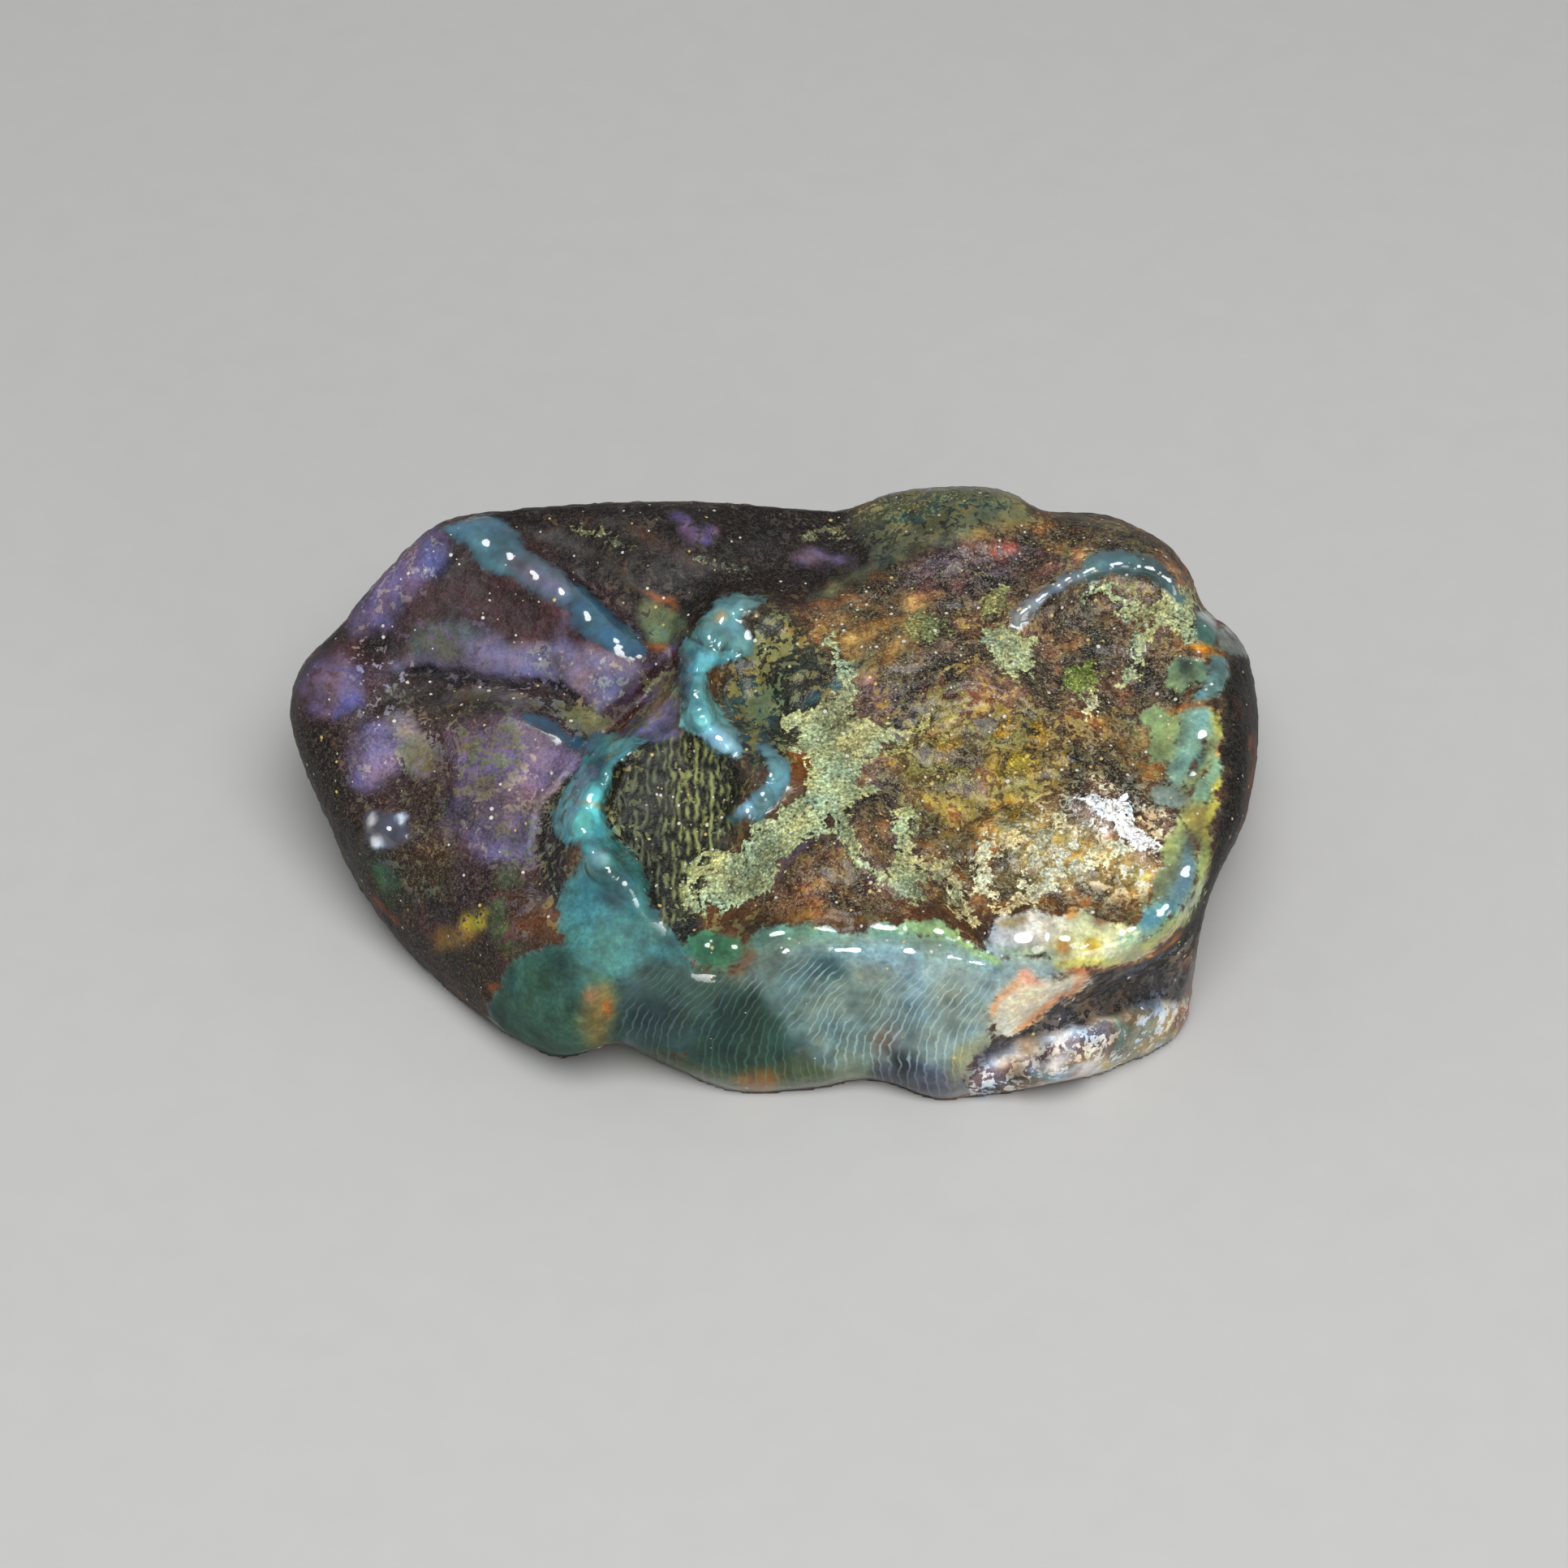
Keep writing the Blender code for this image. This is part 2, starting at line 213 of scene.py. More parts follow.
VIOLET = (0.44, 0.38, 0.53)
LILAC = (0.43, 0.40, 0.52)
PLUM = (0.23, 0.13, 0.14)
CHARCOAL = (0.08, 0.09, 0.08)
OLIVE_GREY = (0.43, 0.43, 0.36)
OLIVE_GOLD = (0.64, 0.68, 0.50)
PALE_CREAM = (0.84, 0.81, 0.64)
MUSTARD = (0.56, 0.45, 0.14)
TURQUOISE = (0.34, 0.72, 0.74)

# Colours where no mark lies: under the skin, of its flecks, and their share
UNMARKED = (0.33, 0.24, 0.18)
UNMARKED_FLECK = (0.46, 0.38, 0.22)
UNMARKED_SHARE = (0.34,)

# Colours of the hidden sides: under the skin, of the skin and how it changes, and of the crust
HIDDEN_UMBER = np.array((0.24, 0.17, 0.12))
HIDDEN_VIOLET = np.array((0.33, 0.27, 0.40))
HIDDEN_OLIVE = np.array((0.30, 0.29, 0.19))
HIDDEN_AMBER = np.array((0.42, 0.26, 0.11))
HIDDEN_SKIN = np.array((0.20, 0.38, 0.38))
HIDDEN_SKIN_SWING = np.array((1.0, 0.4, -0.4))
HIDDEN_CRUST = np.array((0.46, 0.45, 0.28))

# Colours of the fine lines: left and right in the bowl, in the fold
STREAK = np.array((0.43, 0.46, 0.37))
GOLDEN_STREAK = np.array((0.65, 0.68, 0.42))
STRAND = (0.44, 0.43, 0.42)

# Outlines that more than one list uses: the far mound, the bowl, the fold under the lilac band, which is cut
# in and painted dark as shade, and the seam at the top of the right rim
FAR_MOUND = [
    (1045, 640), (1090, 605), (1180, 590), (1250, 605), (1275, 640), (1200, 655), (1140, 670), (1090, 690)]
BOWL = [
    (780, 905), (850, 895), (900, 930), (920, 960), (900, 1010), (880, 1060), (858, 1110), (852, 1155),
    (812, 1155), (790, 1100), (762, 1050), (738, 1015), (746, 955)]
SHADED_LILAC_FOLD = [(480, 832), (560, 830), (610, 838), (680, 845), (710, 865), (735, 890)]
RIM_SEAM = [(1446, 772), (1462, 786), (1480, 796), (1506, 803)]

# Colours under the skin, some of them painted shade, later marks over earlier ones
UNDER = [
    # left half: plum brown, darker towards the left end
    area((0.20, 0.12, 0.135), 5.0, [
        (340, 890), (360, 820), (446, 725), (500, 660), (555, 625), (700, 610), (880, 610), (880, 740),
        (835, 830), (750, 900), (690, 990), (665, 1100), (640, 1190), (620, 1290), (530, 1230),
        (420, 1090)]),
    area((0.10, 0.05, 0.05), 3.0, [
        (345, 900), (400, 890), (440, 960), (450, 1040), (480, 1110), (540, 1180), (520, 1230),
        (420, 1090)]),
    # far side: nearly black brown
    area((0.07, 0.03, 0.035), 2.5, [
        (570, 625), (700, 610), (900, 610), (1040, 615), (1085, 690), (1000, 745), (930, 735), (865, 755),
        (835, 800), (790, 775), (735, 720), (660, 670)]),
    line((0.24, 0.24, 0.24), 1.2, 0.5, [(650, 655), (700, 668), (760, 700), (810, 735)]),
    line((0.23, 0.15, 0.13), 1.4, 0.6, [(720, 640), (780, 650), (830, 680), (880, 700)]),
    area((0.38, 0.42, 0.29), 1.0, [
        (795, 740), (815, 745), (835, 750), (845, 770), (840, 790), (820, 797), (800, 790), (795, 770),
        (790, 755)]),
    line((0.55, 0.30, 0.12), 0.8, 0.3, [(798, 728), (812, 738), (830, 747)]),
    line((0.55, 0.30, 0.12), 0.8, 0.3, [(792, 788), (806, 796), (820, 803)]),
    area((0.43, 0.36, 0.54), 0.9, [
        (833, 635), (845, 633), (855, 645), (870, 645), (885, 650), (885, 662), (870, 672), (855, 675),
        (845, 668), (842, 650)]),
    area((0.40, 0.34, 0.44), 1.2, [
        (968, 685), (985, 677), (1010, 677), (1030, 680), (1050, 685), (1055, 697), (1030, 700), (1000, 697),
        (975, 695)]),
    area((0.24, 0.25, 0.19), 2.5, FAR_MOUND),
    line((0.18, 0.30, 0.29), 1.4, 0.6, [(1100, 645), (1140, 630), (1190, 625), (1235, 640)]),
    line((0.36, 0.40, 0.32), 1.0, 0.5, [
        (1000, 735), (1040, 715), (1080, 700), (1110, 680), (1150, 668), (1200, 660), (1240, 650)]),
    line((0.55, 0.32, 0.13), 0.8, 0.3, [(1000, 745), (1030, 736), (1060, 725), (1090, 705)]),
    line((0.16, 0.30, 0.25), 1.2, 0.7, [(1290, 645), (1340, 650), (1380, 657), (1415, 672)]),
    # right half: brown mass
    area((0.31, 0.22, 0.17), 3.0, [
        (965, 770), (1000, 750), (1060, 730), (1110, 700), (1200, 665), (1290, 640), (1400, 650),
        (1470, 720), (1500, 800), (1500, 960), (1470, 1080), (1420, 1150), (1300, 1180), (1200, 1165),
        (1060, 1130), (940, 1130), (860, 1130), (930, 1050), (1000, 1000), (1000, 880)]),
    area((0.23, 0.15, 0.165), 2.0, [
        (1110, 705), (1160, 675), (1230, 665), (1290, 670), (1315, 690), (1260, 720), (1190, 735),
        (1120, 735)]),
    area((0.34, 0.19, 0.07), 1.5, [(1255, 650), (1300, 645), (1345, 655), (1335, 682), (1280, 672)]),
    area((0.50, 0.24, 0.20), 1.0, [(1222, 672), (1240, 666), (1254, 676), (1246, 690), (1226, 692)]),
    area((0.47, 0.35, 0.17), 2.5, [
        (1010, 765), (1050, 745), (1110, 740), (1150, 760), (1130, 810), (1090, 850), (1040, 835),
        (1020, 800)]),
    area((0.32, 0.25, 0.16), 1.4, [
        (1096, 738), (1125, 730), (1152, 742), (1148, 764), (1118, 768), (1098, 756)]),
    area((0.32, 0.23, 0.26), 2.0, [
        (1055, 845), (1095, 835), (1140, 850), (1130, 885), (1080, 890), (1058, 870)]),
    area((0.42, 0.22, 0.15), 2.0, [
        (1130, 845), (1170, 835), (1205, 850), (1200, 885), (1160, 890), (1130, 875)]),
    area((0.32, 0.25, 0.105), 2.5, [
        (1110, 900), (1170, 885), (1240, 880), (1310, 900), (1330, 950), (1300, 1000), (1220, 1010),
        (1140, 1000), (1100, 950)]),
    area((0.34, 0.22, 0.10), 2.0, [
        (1140, 935), (1180, 925), (1215, 945), (1210, 985), (1165, 990), (1135, 965)]),
    area((0.23, 0.165, 0.14), 2.5, [
        (1260, 770), (1310, 735), (1360, 765), (1420, 790), (1440, 840), (1400, 870), (1330, 860),
        (1280, 830)]),
    area((0.30, 0.19, 0.10), 1.5, [
        (1390, 800), (1435, 790), (1470, 810), (1450, 860), (1400, 870), (1375, 845)]),
    area((0.27, 0.18, 0.11), 2.0, [
        (1300, 885), (1340, 870), (1385, 880), (1410, 920), (1390, 955), (1345, 960), (1310, 930)]),
    area((0.54, 0.37, 0.13), 1.6, [(1375, 905), (1405, 905), (1432, 950), (1412, 980), (1385, 950)]),
    area((0.52, 0.44, 0.22), 2.5, [
        (1210, 1020), (1290, 1000), (1360, 1040), (1420, 1070), (1410, 1110), (1330, 1110), (1250, 1110),
        (1215, 1070)]),
    area((0.40, 0.26, 0.12), 2.0, [
        (1100, 1000), (1160, 990), (1215, 1010), (1225, 1080), (1200, 1120), (1160, 1080), (1120, 1060)]),
    area((0.66, 0.50, 0.28), 1.4, [(1145, 1042), (1180, 1030), (1212, 1032), (1205, 1050), (1165, 1056)]),
    area((0.45, 0.31, 0.18), 1.0, [
        (1048, 985), (1075, 980), (1098, 990), (1096, 1020), (1100, 1050), (1080, 1070), (1058, 1040),
        (1046, 1010)]),
    area((0.26, 0.16, 0.10), 1.2, [
        (960, 1085), (985, 1055), (1010, 1030), (1040, 1045), (1075, 1085), (1100, 1115), (1050, 1130),
        (990, 1125), (945, 1120)]),
    line((0.40, 0.25, 0.12), 1.0, 0.5, [
        (858, 1138), (900, 1136), (940, 1130), (1000, 1122), (1070, 1130), (1110, 1118), (1160, 1112),
        (1190, 1130)]),
    line((0.34, 0.27, 0.31), 0.8, 0.35, [
        (960, 1080), (985, 1050), (1015, 1022), (1045, 1048), (1085, 1085)]),
    line((0.34, 0.27, 0.31), 0.8, 0.35, [(1050, 985), (1080, 975), (1100, 992), (1098, 1050)]),
    area((0.30, 0.18, 0.09), 1.5, [
        (850, 1122), (900, 1120), (960, 1112), (1060, 1120), (1160, 1112), (1200, 1140), (1110, 1136),
        (1000, 1136), (930, 1146), (870, 1138)]),
    line((0.46, 0.30, 0.12), 0.8, 0.3, [(950, 1134), (1000, 1130), (1060, 1134), (1100, 1134)]),
    area((0.40, 0.25, 0.10), 2.0, [
        (1240, 1130), (1310, 1105), (1400, 1100), (1450, 1060), (1455, 1090), (1420, 1130), (1340, 1130)]),
    # the charcoal bowl and the rock right of the hook
    area(CHARCOAL, 1.2, BOWL),
    area((0.15, 0.155, 0.115), 1.2, [
        (930, 755), (975, 760), (1010, 800), (1025, 850), (990, 900), (975, 940), (940, 935), (915, 900),
        (890, 870), (895, 820)]),
    area((0.17, 0.27, 0.29), 1.4, [
        (900, 845), (930, 835), (950, 860), (952, 900), (940, 935), (915, 925), (905, 890), (892, 870)]),
    area((0.42, 0.24, 0.06), 1.0, [(978, 915), (998, 920), (1000, 960), (985, 968), (974, 945)]),
    line((0.15, 0.27, 0.29), 0.6, 0.5, [(990, 868), (1015, 850), (1035, 835), (1055, 820)]),
    # the valley band, the fold and what lies left of the hook
    area((0.33, 0.30, 0.26), 1.5, [(800, 850), (835, 830), (840, 860), (832, 895), (800, 905), (770, 905)]),
    line((0.36, 0.29, 0.40), 0.8, 0.9, [(835, 800), (800, 845), (765, 885), (735, 905)]),
    line((0.22, 0.12, 0.16), 0.6, 0.6, [(838, 806), (815, 830), (785, 865), (748, 905)]),
    area((0.48, 0.44, 0.56), 0.8, [
        (775, 905), (800, 885), (825, 865), (838, 862), (832, 885), (842, 900), (820, 912), (790, 912)]),
    # violet lobes at the left
    area(VIOLET, 1.6, [
        (425, 785), (433, 765), (448, 745), (455, 725), (470, 705), (487, 690), (500, 675), (515, 655),
        (540, 645), (555, 658), (556, 675), (553, 690), (540, 708), (520, 722), (505, 742), (490, 762),
        (470, 780), (440, 788)]),
    area((0.38, 0.36, 0.52), 1.2, [(520, 672), (540, 660), (553, 670), (550, 690), (530, 702), (518, 690)]),
    line((0.17, 0.16, 0.33), 0.7, 0.35, [(533, 712), (548, 700), (556, 688)]),
    area((0.38, 0.31, 0.38), 1.6, [
        (640, 690), (680, 715), (700, 745), (700, 790), (680, 800), (672, 760), (650, 730), (628, 712)]),
    area(PLUM, 2.2, [
        (475, 785), (500, 750), (530, 722), (560, 712), (590, 705), (620, 715), (655, 735), (680, 755),
        (685, 775), (675, 795), (655, 800), (635, 785), (600, 765), (560, 752), (530, 757), (500, 785)]),
    area((0.34, 0.36, 0.34), 1.3, [
        (500, 795), (512, 772), (545, 764), (580, 770), (605, 788), (640, 795), (650, 806), (640, 818),
        (600, 822), (560, 816), (520, 820), (500, 808)]),
    area(LILAC, 1.4, [
        (480, 818), (520, 812), (560, 812), (585, 785), (620, 782), (660, 795), (700, 790), (740, 798),
        (800, 815), (790, 835), (760, 860), (735, 880), (715, 868), (690, 850), (660, 842), (620, 836),
        (580, 836), (540, 835), (500, 832), (480, 830)]),
    area((0.21, 0.17, 0.15), 1.5, [
        (480, 838), (560, 845), (620, 848), (690, 858), (715, 875), (740, 905), (700, 885), (650, 870),
        (625, 885), (590, 888), (560, 898), (520, 885), (480, 872), (462, 855)]),
    line((0.37, 0.34, 0.36), 1.0, 0.6, [(530, 868), (570, 855), (620, 858), (660, 868)]),
    # painted shade: a dark line along the fold under the lilac band
    line((0.10, 0.08, 0.10), 0.8, 0.35, SHADED_LILAC_FOLD),
    area((0.36, 0.37, 0.26), 1.2, [(700, 872), (725, 870), (742, 890), (740, 906), (715, 900), (700, 888)]),
    area(VIOLET, 2.0, [
        (560, 900), (592, 892), (630, 880), (650, 885), (670, 905), (700, 920), (715, 930), (700, 960),
        (680, 985), (665, 1005), (655, 1030), (655, 1065), (640, 1070), (600, 1065), (575, 1050),
        (560, 1035), (550, 1010), (552, 985), (560, 960), (556, 930)]),
    area((0.38, 0.33, 0.45), 1.6, [
        (560, 985), (600, 975), (640, 985), (640, 1010), (590, 1025), (562, 1010)]),
    area(VIOLET, 1.6, [
        (425, 950), (428, 925), (440, 900), (460, 885), (480, 890), (495, 905), (495, 925), (485, 945),
        (470, 960), (450, 972), (435, 967)]),
    area((0.47, 0.45, 0.50), 1.2, [
        (478, 880), (500, 874), (516, 888), (520, 910), (535, 935), (530, 955), (505, 955), (500, 925),
        (486, 905)]),
    area((0.36, 0.30, 0.41), 1.4, [
        (370, 828), (385, 808), (405, 798), (425, 800), (440, 815), (447, 835), (452, 850), (445, 865),
        (430, 875), (410, 885), (395, 880), (378, 865), (368, 848)]),
    area((0.31, 0.29, 0.52), 1.0, [(408, 868), (425, 860), (446, 858), (448, 868), (430, 878), (410, 880)]),
    area((0.24, 0.14, 0.17), 1.5, [(425, 800), (445, 795), (472, 812), (476, 845), (452, 850), (440, 825)]),
    area((0.08, 0.045, 0.055), 1.2, [(444, 784), (472, 778), (480, 800), (462, 812), (446, 802)]),
    area((0.46, 0.45, 0.52), 1.2, [
        (452, 1006), (478, 998), (502, 1013), (502, 1040), (470, 1045), (452, 1030)]),
    area((0.20, 0.13, 0.07), 2.0, [
        (500, 1050), (550, 1045), (580, 1070), (565, 1110), (520, 1110), (498, 1080)]),
    area((0.20, 0.13, 0.15), 1.5, [(560, 1055), (600, 1070), (605, 1100), (580, 1120), (558, 1095)]),
    area((0.28, 0.36, 0.24), 1.0, [(612, 1072), (638, 1072), (640, 1090), (622, 1098), (608, 1088)]),
    area((0.11, 0.14, 0.08), 1.8, [
        (438, 1040), (462, 1036), (492, 1070), (505, 1110), (498, 1140), (470, 1125), (445, 1080)]),
    area((0.20, 0.36, 0.24), 1.4, [(455, 1066), (482, 1070), (490, 1096), (468, 1100)]),
    line((0.66, 0.24, 0.08), 0.7, 0.26, [(462, 1112), (475, 1126), (490, 1140)]),
    area((0.52, 0.38, 0.16), 1.4, [
        (533, 1150), (560, 1140), (575, 1135), (598, 1148), (590, 1160), (565, 1168), (545, 1175),
        (533, 1165)]),
    area((0.78, 0.70, 0.16), 0.8, [(566, 1138), (588, 1126), (606, 1124), (600, 1140), (585, 1148)]),
    area((0.13, 0.085, 0.05), 1.5, [
        (540, 1175), (575, 1165), (600, 1155), (615, 1190), (610, 1220), (612, 1250), (580, 1240),
        (550, 1215), (530, 1190)]),
    area((0.50, 0.25, 0.08), 0.7, [(598, 1212), (606, 1208), (610, 1220), (602, 1228)]),
    area((0.50, 0.25, 0.08), 0.7, [(608, 1236), (616, 1236), (616, 1248), (608, 1248)]),
    area((0.28, 0.36, 0.24), 1.0, [
        (600, 1115), (618, 1110), (632, 1145), (640, 1170), (628, 1180), (612, 1165), (604, 1140)]),
    area((0.27, 0.15, 0.08), 1.0, [
        (620, 1104), (645, 1100), (665, 1125), (668, 1150), (645, 1158), (632, 1135)]),
    # dark strands in the fold with one pale line
    line((0.13, 0.12, 0.13), 0.8, 1.3, [(720, 945), (692, 990), (680, 1040), (682, 1090), (690, 1110)]),
    line((0.60, 0.57, 0.66), 0.4, 0.2, [(697, 950), (668, 985), (655, 1010), (652, 1040), (655, 1070)]),
    # right wall, painted nearly black: painted shade on the side turned away from the light; then the lower
    # right
    area((0.045, 0.042, 0.035), 1.2, [
        (1515, 775), (1545, 800), (1560, 870), (1560, 908), (1548, 994), (1510, 1070), (1490, 1119),
        (1478, 1140), (1475, 1115), (1488, 1075), (1490, 1040), (1505, 1000), (1513, 960), (1510, 920),
        (1512, 900), (1505, 870), (1510, 840), (1520, 820), (1520, 800)]),
    line((0.46, 0.20, 0.06), 0.7, 0.18, [(1543, 905), (1544, 950), (1535, 1000), (1520, 1045)]),
    area((0.38, 0.26, 0.19), 1.0, [
        (1388, 856), (1405, 842), (1430, 838), (1452, 848), (1460, 862), (1440, 878), (1410, 876)]),
    line((0.70, 0.46, 0.16), 0.7, 0.35, [(1392, 872), (1420, 882), (1446, 878), (1462, 862), (1464, 848)]),
    line((0.84, 0.58, 0.15), 0.6, 0.35, RIM_SEAM),
    line((0.80, 0.42, 0.12), 0.6, 0.3, [
        (1320, 1198), (1350, 1197), (1400, 1189), (1428, 1172), (1454, 1148)]),
    line((0.62, 0.40, 0.14), 0.8, 0.4, [
        (1220, 1118), (1260, 1108), (1300, 1112), (1350, 1116), (1400, 1122)]),
    line((0.60, 0.26, 0.07), 0.7, 0.3, [(1458, 695), (1468, 715), (1474, 735)]),
    area((0.20, 0.10, 0.06), 1.0, [(1520, 860), (1536, 862), (1534, 886), (1520, 882)]),
    area((0.25, 0.23, 0.24), 1.2, [
        (1345, 1197), (1400, 1188), (1440, 1165), (1460, 1140), (1490, 1110), (1490, 1162), (1480, 1206),
        (1462, 1240), (1440, 1235), (1400, 1240), (1370, 1250), (1330, 1260), (1290, 1275), (1262, 1290),
        (1225, 1300), (1200, 1330), (1185, 1340), (1190, 1310), (1215, 1290), (1250, 1278), (1275, 1255),
        (1300, 1238), (1330, 1215)]),
    # painted shade: dark under the overhanging rim at the lower right, and a dark line in the groove below it
    area((0.13, 0.145, 0.13), 1.2, [(1400, 1192), (1445, 1165), (1480, 1125), (1482, 1165), (1440, 1190)]),
    line((0.10, 0.08, 0.09), 0.7, 0.45, [
        (1270, 1286), (1310, 1262), (1350, 1245), (1400, 1232), (1440, 1228)]),
    area((0.90, 0.88, 0.88), 1.0, [
        (1215, 1310), (1250, 1290), (1300, 1272), (1345, 1255), (1400, 1240), (1440, 1235), (1462, 1245),
        (1480, 1254), (1460, 1290), (1438, 1305), (1410, 1320), (1373, 1335), (1286, 1352), (1237, 1360),
        (1194, 1362), (1180, 1350), (1195, 1330)]),
    area((0.66, 0.60, 0.44), 1.5, [
        (1380, 1252), (1420, 1244), (1460, 1248), (1455, 1280), (1400, 1310), (1370, 1315), (1365, 1280)]),
    area((0.34, 0.26, 0.30), 1.0, [(1198, 1292), (1216, 1288), (1216, 1312), (1200, 1330), (1190, 1315)]),
    area((0.40, 0.34, 0.36), 1.6, [(1180, 1345), (1215, 1318), (1260, 1310), (1290, 1325), (1240, 1345)]),
    area((0.96, 0.95, 0.94), 1.4, [(1225, 1305), (1262, 1288), (1310, 1272), (1320, 1290), (1270, 1308)]),
    area((0.44, 0.40, 0.42), 1.4, [(1330, 1268), (1368, 1255), (1378, 1290), (1350, 1310), (1325, 1300)]),
    line((0.46, 0.38, 0.40), 0.9, 0.4, [(1190, 1340), (1230, 1318), (1290, 1296), (1350, 1276)]),
    line((0.52, 0.46, 0.36), 0.8, 0.3, [(1230, 1340), (1290, 1322), (1350, 1306), (1400, 1296)]),
    line((0.50, 0.72, 0.70), 0.8, 0.45, [(1374, 1248), (1382, 1272), (1378, 1296)]),
    line((0.50, 0.70, 0.72), 0.8, 0.5, [(1275, 1318), (1290, 1322), (1306, 1328)]),
    line((0.66, 0.40, 0.22), 1.2, 0.8, [(1468, 1200), (1466, 1235), (1458, 1272)]),
    line((0.32, 0.13, 0.09), 1.0, 0.5, [(1180, 1350), (1220, 1348), (1262, 1345)]),
    area((0.80, 0.68, 0.12), 0.6, [(1358, 1316), (1366, 1314), (1368, 1323), (1360, 1326)]),
]

# Flecks over those colours: their colour and how much of the place they cover
FLECKS = [
    area((0.30, 0.23, 0.27), 4.0, [
        (340, 890), (380, 780), (500, 650), (700, 610), (860, 620), (870, 760), (750, 900), (670, 1010),
        (660, 1110), (620, 1290), (530, 1230), (420, 1090)], 0.24),
    area((0.24, 0.16, 0.11), 3.0, [
        (345, 900), (400, 890), (440, 960), (480, 1110), (620, 1190), (620, 1290), (520, 1230),
        (420, 1090)], 0.2),
    area((0.60, 0.56, 0.60), 3.0, [
        (420, 790), (450, 720), (520, 645), (560, 650), (560, 700), (500, 760), (480, 800), (700, 795),
        (800, 815), (740, 890), (700, 960), (660, 1070), (560, 1040), (550, 900), (480, 970), (425, 960),
        (440, 890)], 0.24),
    area((0.23, 0.20, 0.17), 2.0, [
        (600, 640), (700, 620), (900, 615), (1040, 620), (1085, 690), (1000, 745), (930, 735), (865, 755),
        (835, 800), (790, 775), (735, 720), (660, 670)], 0.24),
    area((0.45, 0.46, 0.32), 2.5, FAR_MOUND, 0.5),
    area((0.29, 0.18, 0.21), 1.6, [
        (475, 785), (530, 722), (590, 705), (655, 735), (700, 745), (700, 790), (640, 795),
        (560, 752)], 0.22),
    area((0.42, 0.36, 0.46), 1.6, [(505, 770), (580, 765), (640, 790), (640, 820), (510, 815)], 0.34),
    area(OLIVE_GREY, 2.0, [(560, 895), (600, 888), (640, 900), (640, 950), (600, 985), (565, 960)], 0.62),
    area(OLIVE_GREY, 2.0, [(600, 1010), (640, 1000), (660, 1030), (655, 1065), (610, 1060)], 0.55),
    area(OLIVE_GREY, 1.5, [(490, 915), (520, 905), (538, 930), (528, 960), (498, 962)], 0.6),
    area((0.32, 0.30, 0.40), 1.5, [
        (490, 795), (560, 790), (650, 800), (740, 810), (735, 850), (560, 832)], 0.32),
    area((0.60, 0.58, 0.56), 1.5, [(640, 800), (740, 800), (800, 815), (760, 860), (700, 850)], 0.35),
    area((0.38, 0.35, 0.28), 1.5, [(480, 845), (620, 850), (720, 880), (620, 888), (540, 890)], 0.42),
    area((0.36, 0.34, 0.25), 2.0, [
        (440, 965), (560, 960), (560, 1040), (570, 1110), (500, 1100), (450, 1010)], 0.26),
    area((0.44, 0.44, 0.30), 1.5, [(690, 865), (745, 870), (745, 905), (700, 895)], 0.5),
    area((0.46, 0.46, 0.33), 1.5, [(795, 845), (835, 825), (838, 895), (790, 910)], 0.5),
    area((0.44, 0.44, 0.34), 1.0, [
        (700, 950), (725, 960), (705, 1010), (700, 1100), (672, 1100), (665, 1020)], 0.42),
    area((0.45, 0.46, 0.29), 1.5, BOWL, 0.26),
    area((0.50, 0.51, 0.31), 1.5, [
        (832, 950), (868, 945), (890, 970), (886, 1015), (856, 1030), (838, 1000)], 0.46),
    area((0.45, 0.47, 0.30), 1.5, [
        (930, 750), (975, 760), (1010, 800), (1025, 850), (990, 900), (975, 940), (930, 930), (915, 880),
        (895, 850)], 0.46),
    area((0.50, 0.42, 0.22), 3.0, [
        (965, 770), (1060, 730), (1200, 665), (1290, 645), (1400, 655), (1470, 720), (1500, 860),
        (1470, 1080), (1400, 1140), (1200, 1150), (940, 1130), (860, 1130), (1000, 1000),
        (1000, 880)], 0.36),
    area((0.35, 0.27, 0.28), 2.0, [(1110, 705), (1160, 675), (1290, 668), (1260, 720), (1130, 735)], 0.24),
    area((0.42, 0.34, 0.24), 2.0, [
        (1260, 770), (1310, 735), (1420, 780), (1450, 840), (1400, 870), (1290, 840)], 0.38),
    area((0.53, 0.46, 0.18), 2.5, [
        (1100, 880), (1240, 860), (1320, 890), (1340, 960), (1300, 1010), (1200, 1030), (1110, 1000)], 0.52),
    area((0.84, 0.80, 0.68), 2.5, [
        (1215, 1020), (1300, 980), (1360, 950), (1430, 980), (1450, 1050), (1400, 1100),
        (1260, 1110)], 0.36),
    area((0.40, 0.29, 0.13), 2.0, [
        (945, 1110), (1010, 1030), (1090, 1080), (1180, 1110), (1100, 1130), (990, 1130)], 0.42),
    area((0.40, 0.38, 0.37), 1.5, [
        (1345, 1197), (1440, 1165), (1490, 1110), (1480, 1206), (1440, 1235), (1290, 1275), (1200, 1330),
        (1215, 1290), (1300, 1238)], 0.42),
    area((0.92, 0.90, 0.86), 1.5, [
        (1215, 1310), (1300, 1272), (1440, 1235), (1480, 1254), (1438, 1305), (1373, 1335), (1237, 1360),
        (1180, 1350)], 0.38),
    # painted shade: dark flecks on the right wall
    area((0.10, 0.09, 0.08), 1.0, [
        (1515, 775), (1545, 800), (1560, 870), (1560, 908), (1548, 994), (1510, 1070), (1478, 1140),
        (1475, 1115), (1490, 1040), (1513, 960), (1505, 870)], 0.2),
]
